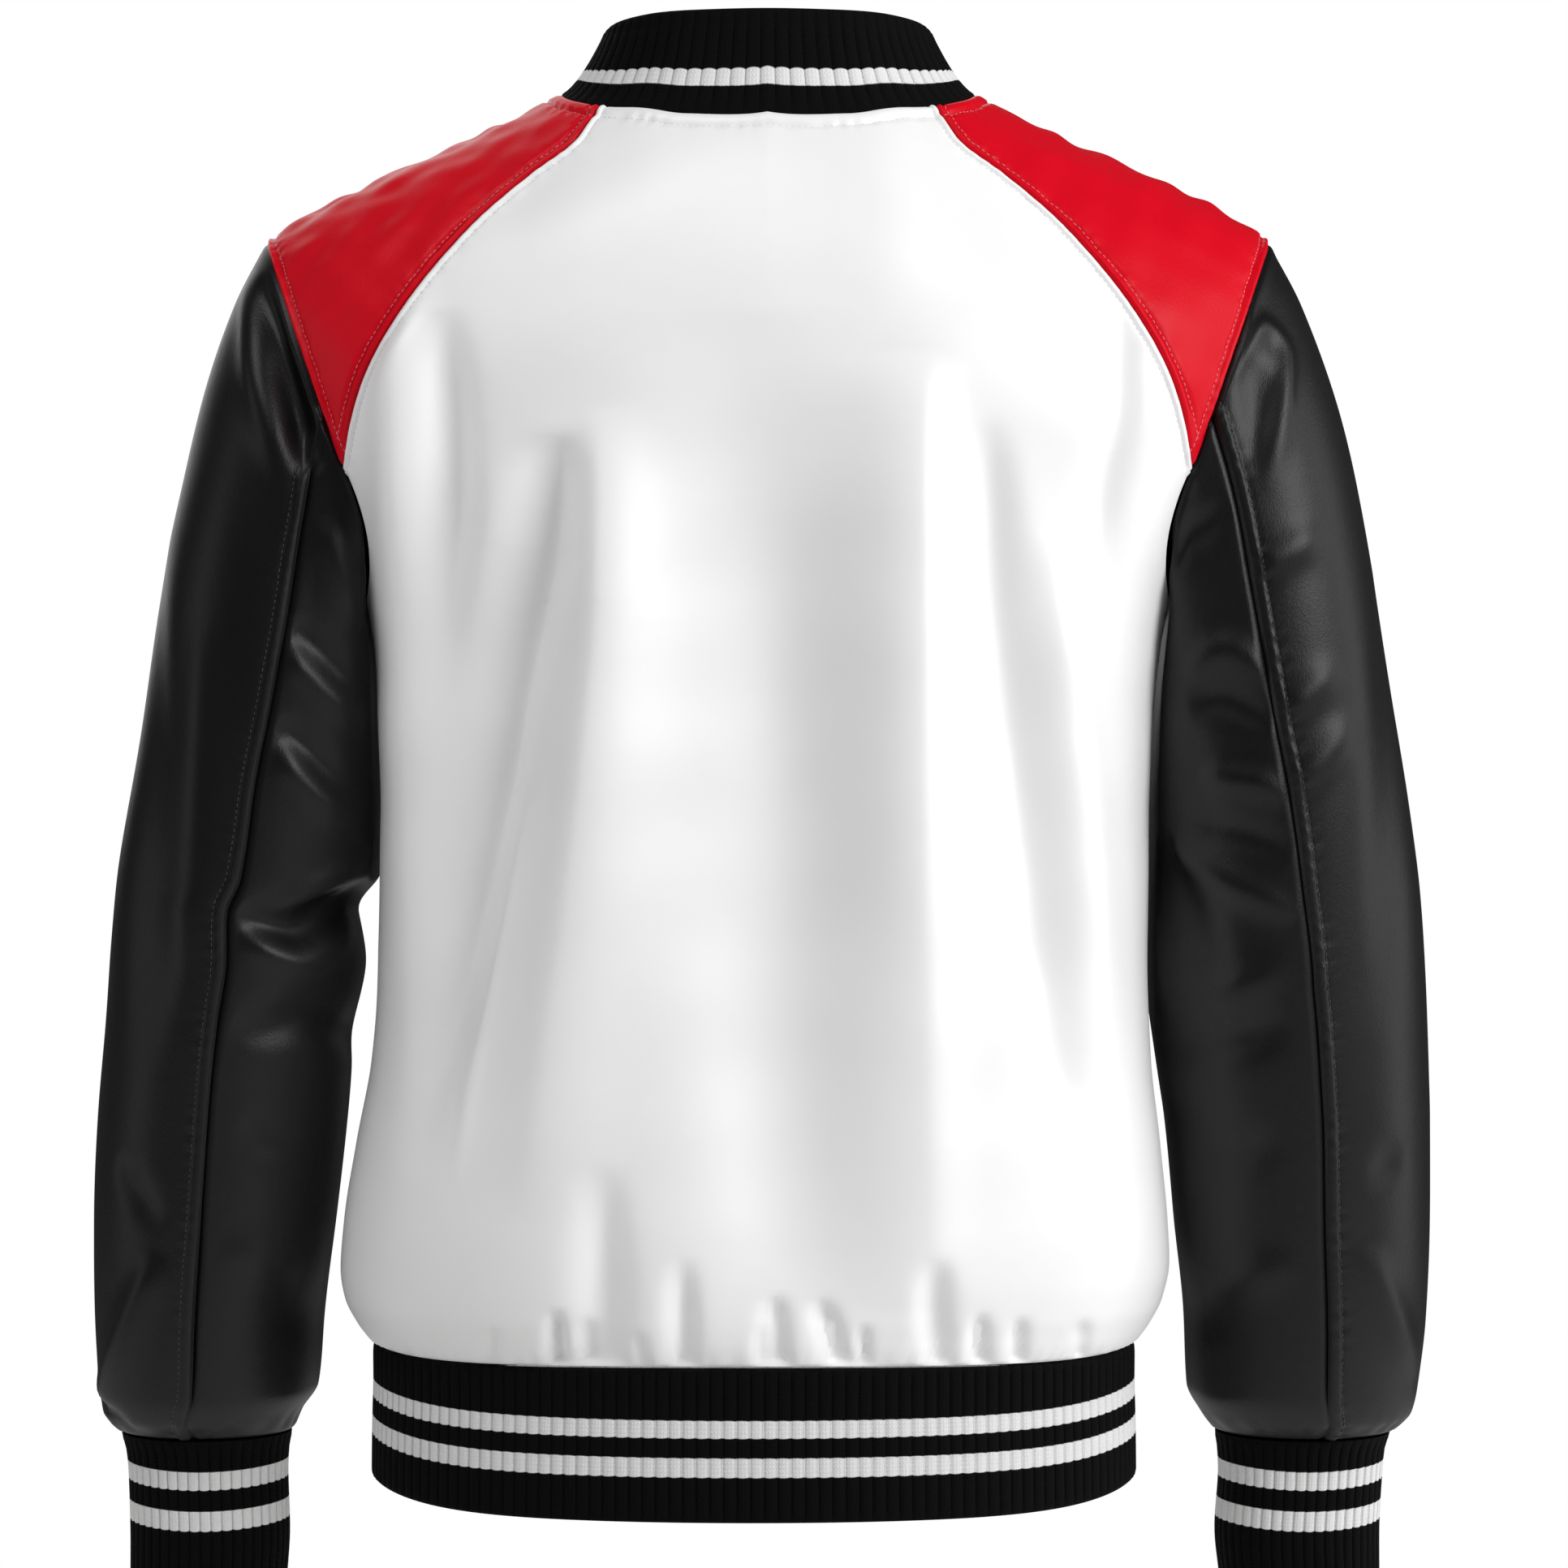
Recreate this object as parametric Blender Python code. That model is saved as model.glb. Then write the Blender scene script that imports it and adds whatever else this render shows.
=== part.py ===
"""Varsity jacket, filled out as if it were worn: white body, leather shoulders and sleeves, rib-knit trims.

Frame: metres, +Z up. The front faces -Y and the wearer's left is +X. The origin is in the middle of the
neck, level with the points where the neck seam crosses the shoulder ridges: there the wearer's shoulders
carry the jacket.

Every panel is a closed wall between an outer and an inner grid of points. The body's panels all lie on one
surface, so neighbours share the points of their seam, and each stops a hair short of it. "drop" is the
distance below the origin, "out" the distance from the middle, and "over" the angle over the shoulder: 0
behind, 90 on the ridge.
"""
import bpy
import bmesh
import numpy as np

# Driving dimensions
CLOTH = 0.0024            # body cloth with its seam allowances
LEATHER = 0.0024
RIB_KNIT = 0.0036         # folded double
SEAM_GAP = 0.0004         # between the solids of two pieces that are sewn together
CLEARANCE = 0.0034        # between a sleeve and the body that it hangs against
ARCH = 0.16               # height over which the body rounds over the shoulder
UNDERARM = 0.246          # drop of the underarm point
UNDERARM_BEND = 2.2       # how late the armhole turns under the arm
BESIDE = 0.012            # how far above the underarm point a sleeve starts to hang beside the body
HEM_SEAM = 0.613          # drop of the hem band's seam at the sides
HEM_RISE = 0.007          # how much higher that seam is at the middle of the back
HEM_END_RISE = 0.0037     # and the hem band's lower edge
HEM_SIDE_RISE = 0.0045    # how much higher that seam is at the sides
HEM_END_SIDE_RISE = 0.008
SIDE_RISE_BEND = 7        # how late it rises towards the sides
HEM_RISE_START = 0.50     # drop from which the back's rows start to rise
HEM_END = 0.6815          # drop of the hem band's lower edge at the sides
OVERLAP = 0.014           # how far each front passes the middle
STEP_OUT = 0.056          # distance from the middle where the upper front starts to step onto the lower one
STEP_WIDTH = 0.028        # and the width of that step
CUFF_SEAM = 0.6580
CUFF_END = 0.7335
CUFF_SLOPE = 0.10         # how much further forward a cuff is for each length down
RIB_PITCH = 0.0063
CUFF_PITCH = 0.0058
RIB_DEPTH = 0.0009
SEAM_RIB = 0.3            # share of the ribs' depth that is left where a band is sewn on
BAND_EDGE = 0.0025        # height of the rounded edge of a rib-knit band
COLLAR_FLARE = 0.65       # how quickly the collar turns up from the neck seam, below 1 for a hollow foot
COLLAR_CORNER = 0.010     # how much of the collar's front corners is cut round
NECK_RAGLAN = 55.5        # turn round the neck, in degrees, of the back raglan seam's end
NECK_RAGLAN_FRONT = 134.0
NECK_FRONT_END = 187.4    # where a front's edge, past the middle, meets the neck
RAGLAN_TURN = 112.0       # turn round the armhole, in degrees, where both raglan seams meet it
SLEEVE_SEAM = 92.0        # and where the sleeve's own seams meet it
SNAP_DROPS = (0.108, 0.198, 0.288, 0.378, 0.468, 0.556, 0.648)
SNAP_RADIUS = 0.0075
SNAP_GAP = 0.0005         # between a snap's cap and the cloth under it

WHITE = (0.86, 0.86, 0.85, 1.0)
RED = (0.60, 0.006, 0.02, 1.0)
BLACK_LEATHER = (0.012, 0.012, 0.013, 1.0)
BLACK_RIB = (0.014, 0.014, 0.015, 1.0)
BLACK_ENAMEL = (0.01, 0.01, 0.01, 1.0)


def table(names, rows):
    """A table of sizes, as one array for each named column."""
    return dict(zip(names.split(), np.array(rows, float).T))


def read(rows, column, at):
    """A column's value at places between the rows, on a smooth curve that never swings past the rows' own
    values. The first column says where the rows are."""
    places = rows[next(iter(rows))]
    values = rows[column]
    rates = np.diff(values) / np.diff(places)
    turning = rates[:-1] * rates[1:] <= 0
    total = np.where(turning, 1, rates[:-1] + rates[1:])
    slopes = np.concatenate([rates[:1], np.where(turning, 0, 2 * rates[:-1] * rates[1:] / total), rates[-1:]])
    at = np.clip(at, places[0], places[-1])
    row = np.clip(np.searchsorted(places, at) - 1, 0, len(places) - 2)
    step = places[row + 1] - places[row]
    t = (at - places[row]) / step
    start = (1 + 2 * t) * (1 - t) ** 2 * values[row] + t * (1 - t) ** 2 * step * slopes[row]
    end = t * t * (3 - 2 * t) * values[row + 1] + t * t * (t - 1) * step * slopes[row + 1]
    return start + end


# The body's rings: half width, depth behind and before the shoulder ridge, the lean of the hang to one side,
# and how square they are. Above the underarm the half width is that of the whole ring, of which the armhole
# cuts the sides away.
BODY = table("drop half back front lean square", [
    (-0.040, 0.3000, 0.1120, 0.1060, 0.0000, 2.50),
    (0.020, 0.2970, 0.1150, 0.1090, 0.0000, 2.50),
    (0.060, 0.2860, 0.1190, 0.1120, 0.0000, 2.50),
    (0.100, 0.2690, 0.1215, 0.1150, 0.0000, 2.50),
    (0.140, 0.2480, 0.1235, 0.1175, 0.0000, 2.50),
    (0.170, 0.2315, 0.1245, 0.1185, 0.0000, 2.50),
    (0.200, 0.2160, 0.1250, 0.1195, 0.0000, 2.50),
    (0.225, 0.2048, 0.1252, 0.1200, 0.0000, 2.50),
    (0.246, 0.1972, 0.1252, 0.1200, 0.0000, 2.50),
    (0.270, 0.1922, 0.1252, 0.1205, 0.0003, 2.50),
    (0.300, 0.1900, 0.1250, 0.1210, 0.0010, 2.50),
    (0.350, 0.1882, 0.1240, 0.1210, 0.0014, 2.50),
    (0.420, 0.1885, 0.1230, 0.1210, 0.0025, 2.50),
    (0.470, 0.1910, 0.1240, 0.1220, 0.0034, 2.50),
    (0.510, 0.1970, 0.1260, 0.1240, 0.0048, 2.45),
    (0.550, 0.2020, 0.1290, 0.1270, 0.0060, 2.32),
    (0.574, 0.2035, 0.1300, 0.1280, 0.0065, 2.18),
    (0.590, 0.2010, 0.1285, 0.1265, 0.0070, 2.08),
    (0.603, 0.1950, 0.1245, 0.1225, 0.0070, 2.00),
    (0.613, 0.1870, 0.1185, 0.1170, 0.0070, 2.00),
])

# The line of the shoulder's ridge, from the middle of the neck to past the shoulder's tip.
RIDGE = table("out rise", [
    (0.0000, 0.0380),
    (0.0500, 0.0290),
    (0.0800, 0.0155),
    (0.1035, 0.0030),
    (0.1200, -0.0060),
    (0.1506, -0.0205),
    (0.1826, -0.0340),
    (0.2146, -0.0490),
    (0.2306, -0.0580),
    (0.2466, -0.0688),
    (0.2800, -0.0950),
])

# The neck seam, by the turn round the neck: 0 behind, 90 at the side, 180 before.
NECK = table("turn out over", [
    (-25, -0.0385, 43.8),
    (0, 0.0000, 40.8),
    (25, 0.0385, 43.8),
    (45, 0.0657, 51.0),
    (60, 0.0850, 59.5),
    (75, 0.0985, 72.0),
    (90, 0.1035, 90.0),
    (105, 0.0995, 109.0),
    (120, 0.0895, 124.0),
    (135, 0.0765, 137.0),
    (155, 0.0470, 155.0),
    (180, 0.0000, 166.0),
    (205, -0.0470, 155.0),
])

# The collar's upper edge, by the same turn.
COLLAR_TOP = table("turn out deep rise", [
    (-25, -0.0350, 0.0660, 0.0343),
    (0, 0.0000, 0.0720, 0.0340),
    (25, 0.0350, 0.0660, 0.0343),
    (45, 0.0580, 0.0515, 0.0350),
    (70, 0.0765, 0.0260, 0.0344),
    (90, 0.0815, 0.0000, 0.0315),
    (110, 0.0775, -0.0270, 0.0225),
    (135, 0.0625, -0.0570, 0.0020),
    (160, 0.0330, -0.0800, -0.0250),
    (180, 0.0000, -0.0870, -0.0400),
])

# The raglan seams, from just off the neck to the armhole. Their neck end is read from the neck seam.
RAGLAN_BACK = [
    (0.16, 0.0935, 48.4),
    (0.32, 0.1120, 46.4),
    (0.46, 0.1323, 42.8),
    (0.60, 0.1525, 36.9),
    (0.74, 0.1722, 29.4),
    (0.87, 0.1895, 20.6),
    (0.94, 0.1975, 13.6),
    (1.00, 0.2025, 6.6),
]
RAGLAN_FRONT = [
    (0.16, 0.0910, 138.4),
    (0.32, 0.1090, 140.6),
    (0.46, 0.1290, 144.0),
    (0.60, 0.1490, 149.0),
    (0.74, 0.1680, 155.0),
    (0.88, 0.1855, 162.5),
    (1.00, 0.1970, 174.5),
]

# The upper part of the armhole, by the turn round it: 0 at the shoulder's tip, + behind, 180 under the arm.
ARMHOLE = table("turn out over", [
    (-112, 0.1970, 174.5),
    (-92, 0.2070, 161.5),
    (-75, 0.2165, 151.0),
    (-60, 0.2255, 140.5),
    (-45, 0.2330, 129.5),
    (-30, 0.2397, 118.0),
    (-15, 0.2446, 105.0),
    (0, 0.2466, 90.0),
    (15, 0.2448, 75.0),
    (30, 0.2405, 62.0),
    (45, 0.2350, 50.5),
    (60, 0.2285, 39.5),
    (75, 0.2205, 28.3),
    (92, 0.2120, 17.5),
    (112, 0.2025, 6.6),
])

# The sleeves' outlines from behind. Each hangs a little differently, as the body leans.
SLEEVE_LEFT = table("drop outer inner", [
    (0.069, 0.2466, 0.1500),
    (0.100, 0.2625, 0.1570),
    (0.150, 0.2795, 0.1680),
    (0.200, 0.2908, 0.1800),
    (0.250, 0.3000, 0.1860),
    (0.300, 0.3085, 0.1860),
    (0.350, 0.3163, 0.1875),
    (0.380, 0.3207, 0.1915),
    (0.398, 0.3228, 0.2020),
    (0.422, 0.3256, 0.1993),
    (0.450, 0.3281, 0.2042),
    (0.500, 0.3322, 0.2098),
    (0.550, 0.3348, 0.2156),
    (0.600, 0.3357, 0.2225),
    (0.635, 0.3348, 0.2256),
    (0.648, 0.3330, 0.2335),
    (0.658, 0.3249, 0.2379),
])
SLEEVE_RIGHT = table("drop outer inner", [
    (0.069, 0.2466, 0.1500),
    (0.100, 0.2630, 0.1570),
    (0.150, 0.2800, 0.1680),
    (0.200, 0.2915, 0.1800),
    (0.250, 0.3012, 0.1860),
    (0.300, 0.3088, 0.1850),
    (0.350, 0.3163, 0.1860),
    (0.390, 0.3216, 0.1855),
    (0.430, 0.3250, 0.1863),
    (0.450, 0.3262, 0.1896),
    (0.480, 0.3276, 0.1941),
    (0.500, 0.3283, 0.1970),
    (0.550, 0.3287, 0.2018),
    (0.600, 0.3281, 0.2080),
    (0.635, 0.3252, 0.2095),
    (0.648, 0.3225, 0.2157),
    (0.658, 0.3125, 0.2230),
])
OUTLINE = {1: SLEEVE_LEFT, -1: SLEEVE_RIGHT}

# The sleeves' shape from the side: how far forward the middle hangs, and half the depth.
SLEEVE_SIDE = table("drop forward deep", [
    (0.069, 0.0000, 0.0700),
    (0.155, 0.0020, 0.0780),
    (0.200, 0.0030, 0.0775),
    (0.270, 0.0045, 0.0745),
    (0.370, 0.0085, 0.0705),
    (0.460, 0.0145, 0.0675),
    (0.560, 0.0240, 0.0630),
    (0.635, 0.0320, 0.0570),
    (0.648, 0.0335, 0.0510),
    (0.658, 0.0345, 0.0400),
])

# The turns of the sleeves' two seams, behind and before, as they wander down from the armhole.
SEAMS = table("drop left_back right_back front", [
    (0.160, 92.0, 92.0, 92),
    (0.200, 98.5, 94.5, 93),
    (0.235, 101.0, 97.0, 94),
    (0.285, 98.5, 94.5, 95),
    (0.342, 94.5, 90.5, 97),
    (0.382, 94.0, 88.0, 98),
    (0.435, 92.5, 85.0, 99),
    (0.492, 91.2, 85.5, 100),
    (0.593, 91.0, 86.5, 100),
    (0.658, 88.5, 83.5, 100),
])
RESIDUE = 0.45            # share of a sleeve's length over which it leaves the armhole's shape

# The cuffs' outlines from behind, and half their depth.
CUFF = {
    1: table("drop outer inner deep", [
        (0.6580, 0.3245, 0.2383, 0.0395),
        (0.6670, 0.3218, 0.2404, 0.0372),
        (0.6790, 0.3208, 0.2411, 0.0362),
        (0.7080, 0.3204, 0.2406, 0.0362),
        (0.7335, 0.3208, 0.2423, 0.0360),
    ]),
    -1: table("drop outer inner deep", [
        (0.6580, 0.3120, 0.2233, 0.0395),
        (0.6670, 0.3088, 0.2250, 0.0372),
        (0.6790, 0.3078, 0.2257, 0.0362),
        (0.7080, 0.3067, 0.2242, 0.0362),
        (0.7335, 0.3071, 0.2268, 0.0360),
    ]),
}

# The large folds of the back and fronts: a soft trough (depth below 0) or ridge along a line of (x, drop)
# points.
BACK_FOLDS = [
    ([(0.083, 0.180), (0.090, 0.2345), (0.108, 0.348), (0.127, 0.442), (0.146, 0.537)], 0.011, -0.0059),
    ([(0.104, 0.200), (0.121, 0.348), (0.140, 0.442), (0.160, 0.530)], 0.009, 0.0036),
    ([(0.118, 0.230), (0.134, 0.348), (0.150, 0.442)], 0.011, -0.0046),
    ([(-0.064, 0.159), (-0.051, 0.310), (-0.043, 0.461), (-0.041, 0.560)], 0.020, -0.0065),
    ([(-0.083, 0.182), (-0.100, 0.310), (-0.123, 0.461), (-0.149, 0.540)], 0.014, 0.0046),
    ([(-0.108, 0.182), (-0.130, 0.272), (-0.149, 0.386), (-0.157, 0.461)], 0.013, -0.0059),
    ([(-0.161, 0.118), (-0.168, 0.159), (-0.162, 0.235)], 0.009, -0.0039),
    ([(0.153, 0.118), (0.146, 0.216)], 0.010, -0.0046),
    ([(0.167, 0.140), (0.161, 0.265)], 0.009, 0.0039),
    ([(0.068, 0.537), (0.065, 0.590)], 0.009, -0.0052),
    ([(0.034, 0.570), (0.033, 0.598)], 0.008, -0.0039),
    ([(0.094, 0.580), (0.092, 0.604)], 0.007, -0.0046),
    ([(-0.009, 0.580), (-0.009, 0.604)], 0.007, -0.0039),
    ([(-0.086, 0.565), (-0.088, 0.600)], 0.008, -0.0046),
    ([(-0.123, 0.575), (-0.126, 0.603)], 0.007, -0.0039),
]
FRONT_FOLDS = [
    ([(0.110, 0.190), (0.096, 0.330), (0.085, 0.470), (0.080, 0.560)], 0.016, -0.0059),
    ([(0.140, 0.200), (0.128, 0.330), (0.122, 0.450)], 0.013, 0.0046),
    ([(-0.118, 0.180), (-0.104, 0.300), (-0.098, 0.440)], 0.016, -0.0059),
    ([(-0.075, 0.380), (-0.062, 0.480), (-0.055, 0.570)], 0.014, -0.0046),
    ([(-0.145, 0.220), (-0.135, 0.340), (-0.140, 0.470)], 0.012, 0.0039),
    ([(0.060, 0.560), (0.058, 0.598)], 0.008, -0.0046),
    ([(0.110, 0.570), (0.112, 0.600)], 0.008, -0.0046),
    ([(-0.085, 0.565), (-0.084, 0.600)], 0.008, -0.0046),
    ([(-0.125, 0.575), (-0.127, 0.602)], 0.007, -0.0039),
]

# The large folds of the sleeves, along lines of (turn, drop) points.
SLEEVE_FOLDS = {
    1: [
        ([(30, 0.100), (52, 0.125), (72, 0.165), (88, 0.205)], 0.010, 0.0030),
        ([(52, 0.105), (76, 0.150), (98, 0.180)], 0.009, -0.0035),
        ([(99, 0.414), (127, 0.400), (165, 0.402), (205, 0.410)], 0.010, -0.0065),
        ([(112, 0.462), (145, 0.455), (190, 0.458)], 0.010, -0.0050),
        ([(104, 0.293), (141, 0.279)], 0.008, -0.0035),
        ([(104, 0.335), (134, 0.317), (160, 0.318)], 0.009, -0.0040),
        ([(60, 0.560), (40, 0.600), (5, 0.634)], 0.010, 0.0030),
        ([(250, 0.300), (215, 0.325)], 0.010, -0.0045),
        ([(255, 0.360), (225, 0.380)], 0.010, -0.0045),
        ([(265, 0.430), (228, 0.440)], 0.011, -0.0060),
        ([(-40, 0.470), (-75, 0.490)], 0.011, -0.0035),
    ],
    -1: [
        ([(52, 0.105), (70, 0.140), (96, 0.172)], 0.009, -0.0040),
        ([(40, 0.130), (64, 0.175), (98, 0.200)], 0.009, -0.0035),
        ([(102, 0.276), (140, 0.284)], 0.009, 0.0035),
        ([(98, 0.336), (135, 0.337)], 0.009, 0.0035),
        ([(92, 0.372), (125, 0.383), (158, 0.400)], 0.010, 0.0045),
        ([(112, 0.395), (150, 0.415), (185, 0.420)], 0.013, -0.0070),
        ([(100, 0.450), (140, 0.462)], 0.010, -0.0045),
        ([(62, 0.560), (40, 0.600), (5, 0.634)], 0.010, 0.0030),
        ([(250, 0.300), (215, 0.325)], 0.010, -0.0045),
        ([(255, 0.370), (225, 0.392)], 0.010, -0.0050),
        ([(265, 0.440), (228, 0.450)], 0.011, -0.0055),
        ([(-40, 0.480), (-75, 0.500)], 0.011, -0.0035),
    ],
}
METRES_PER_DEGREE = 0.00115    # round a sleeve
FADE_TOP = 0.08           # share of a sleeve's length over which its folds fade out at the armhole
FADE_CUFF = 0.05          # and at the cuff

# The hem band's rings, lowest first, and how much of the ribs' depth each has.
HEM = table("drop half back front ribs", [
    (HEM_END, 0.1868, 0.1185, 0.1170, 0.0),
    (HEM_END - BAND_EDGE, 0.1880, 0.1197, 0.1182, 1.0),
    (HEM_SEAM + 0.020, 0.1872, 0.1187, 0.1172, 1.0),
    (HEM_SEAM + SEAM_GAP, 0.1868, 0.1183, 0.1168, SEAM_RIB),
])

# The collar's runs, as shares of its height, and the cuffs' rings, lowest first, with how much each is let
# out.
COLLAR = table("height ribs", [
    (0.00, SEAM_RIB),
    (0.18, 1.0),
    (0.50, 1.0),
    (0.93, 1.0),
    (1.00, 0.0),
])
CUFF_RINGS = table("drop swell ribs", [
    (CUFF_END, -0.0008, 0.0),
    (CUFF_END - BAND_EDGE, 0.0, 1.0),
    (0.6790, 0.0, 1.0),
    (0.6670, 0.0, 1.0),
    (CUFF_SEAM + 1.5 * SEAM_GAP, -0.0004, SEAM_RIB),
])

# The profile of a snap's cap, from its crown to its rim and back under.
SNAP = table("radius height", [
    (0.0, 0.0032),
    (0.0035, 0.0030),
    (0.0062, 0.0022),
    (SNAP_RADIUS, 0.0008),
    (SNAP_RADIUS, 0.0),
    (0.0, 0.0),
])

# How finely each piece is divided. Neighbours share these stations, so that their seams have the same points.
SIDE_DROPS = np.array([0.613, 0.604, 0.592, 0.576, 0.552, 0.518, 0.474, 0.424, 0.374, 0.328, 0.295, 0.268,
                       UNDERARM])
UNDERARM_STATIONS = np.linspace(1.0, 0.0, 5)
RAGLAN_STATIONS = np.linspace(1.0, 0.0, 8)
TOP_TURNS = np.linspace(-SLEEVE_SEAM, SLEEVE_SEAM, 11)
BACK_COLUMNS = 20
SOFTENING = 0.035         # how far along the side edges their turns are spread for the columns away from them
FRONT_SHARES = np.array([0.0, 0.10, 0.22, 0.35, 0.48, 0.60, 0.70, 0.785, 0.87, 0.94, 1.0])
SLEEVE_ROWS = np.array([0.0, 0.03, 0.075, 0.15, 0.225, 0.30, 0.375, 0.45, 0.525, 0.60, 0.675, 0.75, 0.825,
                        0.90, 0.945, 0.972, 0.987, 1.0])
RUN_POINTS = 401          # points on the smooth runs that the rib-knit bands are divided from
SNAP_SIDES = 12


# --------------------------------------------------------------------------------------- the body's surface

def stack(x, y, z):
    """Points from their three coordinates, which may be arrays or numbers."""
    return np.stack(np.broadcast_arrays(x, y, z), axis=-1).astype(float)


def ease(t):
    """0 to 1, starting and ending softly."""
    t = np.clip(t, 0, 1)
    return t * t * (3 - 2 * t)


def ring_share(out, half, square):
    """How much of a ring's depth is left at a distance from the middle. A square of 2 makes an ellipse, and
    more makes it squarer."""
    return (1 - np.minimum(np.abs(out) / half, 1) ** square) ** (1 / square)


def hem_rise(aside, facing_back, behind, beside):
    """How far the hem's lines rise behind, and beside the body."""
    return behind * np.maximum(facing_back, 0) ** 2 + beside * np.abs(aside) ** SIDE_RISE_BEND


def body(around, drop):
    """Points of the body's surface. around counts quarter turns from the middle of the back: 1 is the
    wearer's left side seam, -1 the right one, and 2 or -2 the middle of the front."""
    half = read(BODY, "half", drop)
    out = half * np.sin(np.pi / 2 * around)
    facing_back = np.cos(np.pi / 2 * around)
    depth = np.where(facing_back > 0, read(BODY, "back", drop), -read(BODY, "front", drop))
    below = np.clip(drop + read(RIDGE, "rise", np.abs(out)), 0, ARCH)
    arch = np.sqrt(1 - (1 - below / ARCH) ** 2)
    lowered = ease((drop - HEM_RISE_START) / (HEM_SEAM - HEM_RISE_START))
    rise = hem_rise(out / half, facing_back, HEM_RISE, HEM_SIDE_RISE) * lowered
    deep = depth * ring_share(out, half, read(BODY, "square", drop)) * arch
    return stack(out + read(BODY, "lean", drop), deep, rise - drop)


def yoke_drop(out, over):
    return ARCH * (1 - np.sin(np.radians(over))) - read(RIDGE, "rise", np.abs(out))


def yoke(out, over):
    """Points of the same surface near the shoulder, by the distance from the middle and the angle over the
    ridge."""
    drop = yoke_drop(out, over)
    turn_back = np.cos(np.radians(over))
    depth = np.where(turn_back > 0, read(BODY, "back", drop), read(BODY, "front", drop))
    deep = depth * ring_share(out, read(BODY, "half", drop), read(BODY, "square", drop)) * turn_back
    return stack(out + read(BODY, "lean", drop), deep, -drop)


def around_of(out, drop, over):
    """The quarter turns from the middle of the back of a point given by its place on the yoke."""
    quarter = np.arcsin(np.clip(out / read(BODY, "half", drop), -1, 1)) / (np.pi / 2)
    return np.where(over < 90, quarter, 2 - quarter)


def facing(surface, a, b, middle):
    """Outward normals of a surface that is a function of two values, by the points just beside each point."""
    small_a = 1e-4 * max(1.0, float(np.ptp(a)))
    small_b = 1e-4 * max(1.0, float(np.ptp(b)))
    across = surface(a + small_a, b) - surface(a - small_a, b)
    along = surface(a, b + small_b) - surface(a, b - small_b)
    normal = np.cross(across, along)
    normal /= np.linalg.norm(normal, axis=-1, keepdims=True) + 1e-12
    outward = np.sum(normal * (surface(a, b) - middle), axis=-1, keepdims=True)
    return normal * np.where(outward < 0, -1, 1)


BODY_MIDDLE = np.array((0.0, 0.0, -0.36))


# ------------------------------------------------------------------------------------------------ the seams

def neck(turn):
    """The neck seam's place on the yoke: distance from the middle and angle over the ridge."""
    return read(NECK, "out", turn), read(NECK, "over", turn)


def raglan(behind, along):
    """A raglan seam's place on the yoke, from the neck (0) to the armhole (1)."""
    rows = RAGLAN_BACK if behind else RAGLAN_FRONT
    neck_out, neck_over = neck(NECK_RAGLAN if behind else NECK_RAGLAN_FRONT)
    seam = table("along out over", [(0.0, neck_out, neck_over)] + rows)
    return read(seam, "out", along), read(seam, "over", along)


def underarm(behind, share):
    """The armhole below a raglan seam (share 0) down to the underarm point (1), as quarter turns and drop."""
    out, over = raglan(behind, 1.0)
    start_drop = yoke_drop(out, over)
    start = np.arcsin(out / read(BODY, "half", start_drop)) / (np.pi / 2)
    quarter = start + (1 - start) * share ** UNDERARM_BEND
    drop = start_drop + (UNDERARM - start_drop) * np.sin(np.pi / 2 * share)
    return (quarter if behind else 2 - quarter), drop


def armhole(side, turn):
    """Points of a whole armhole by the turn round it. side is 1 for the wearer's left and -1 for the
    right."""
    turn = np.asarray(turn, float)
    upper = yoke(read(ARMHOLE, "out", turn), read(ARMHOLE, "over", turn))
    share = np.clip((np.abs(turn) - RAGLAN_TURN) / (180 - RAGLAN_TURN), 0, 1)
    around_back, drop_back = underarm(True, share)
    around_front, drop_front = underarm(False, share)
    lower = body(np.where(turn > 0, around_back, around_front), np.where(turn > 0, drop_back, drop_front))
    points = np.where((np.abs(turn) <= RAGLAN_TURN)[..., None], upper, lower)
    points[..., 0] *= side
    return points


# ---------------------------------------------------------------------------------------------- the sleeves

def sleeve_axis(side, drop):
    outline = OUTLINE[side]
    centre = (read(outline, "outer", drop) + read(outline, "inner", drop)) / 2
    half = (read(outline, "outer", drop) - read(outline, "inner", drop)) / 2
    return centre, half


def tube(side, turn, drop):
    """Points of a sleeve as a plain tube, by the turn round it and the drop."""
    centre, half = sleeve_axis(side, drop)
    angle = np.radians(turn)
    deep = read(SLEEVE_SIDE, "deep", drop) * np.sin(angle) - read(SLEEVE_SIDE, "forward", drop)
    return stack(side * (centre + half * np.cos(angle)), deep, -drop)


def clear_of_body(side, points):
    """Sleeve points moved out to where they hang just clear of the body."""
    drop = -points[..., 2]
    depth = np.where(points[..., 1] > 0, read(BODY, "back", drop), read(BODY, "front", drop))
    half = read(BODY, "half", drop) * ring_share(points[..., 1], depth, read(BODY, "square", drop))
    edge = half + side * read(BODY, "lean", drop)
    room = CLEARANCE * ease((drop - UNDERARM + BESIDE) / (2 * BESIDE)) + SEAM_GAP
    kept_out = np.maximum(side * points[..., 0], edge + room)
    beside = (drop > UNDERARM - BESIDE) & (np.abs(points[..., 1]) < depth)
    points = points.copy()
    points[..., 0] = np.where(beside, side * kept_out, points[..., 0])
    return points


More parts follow.
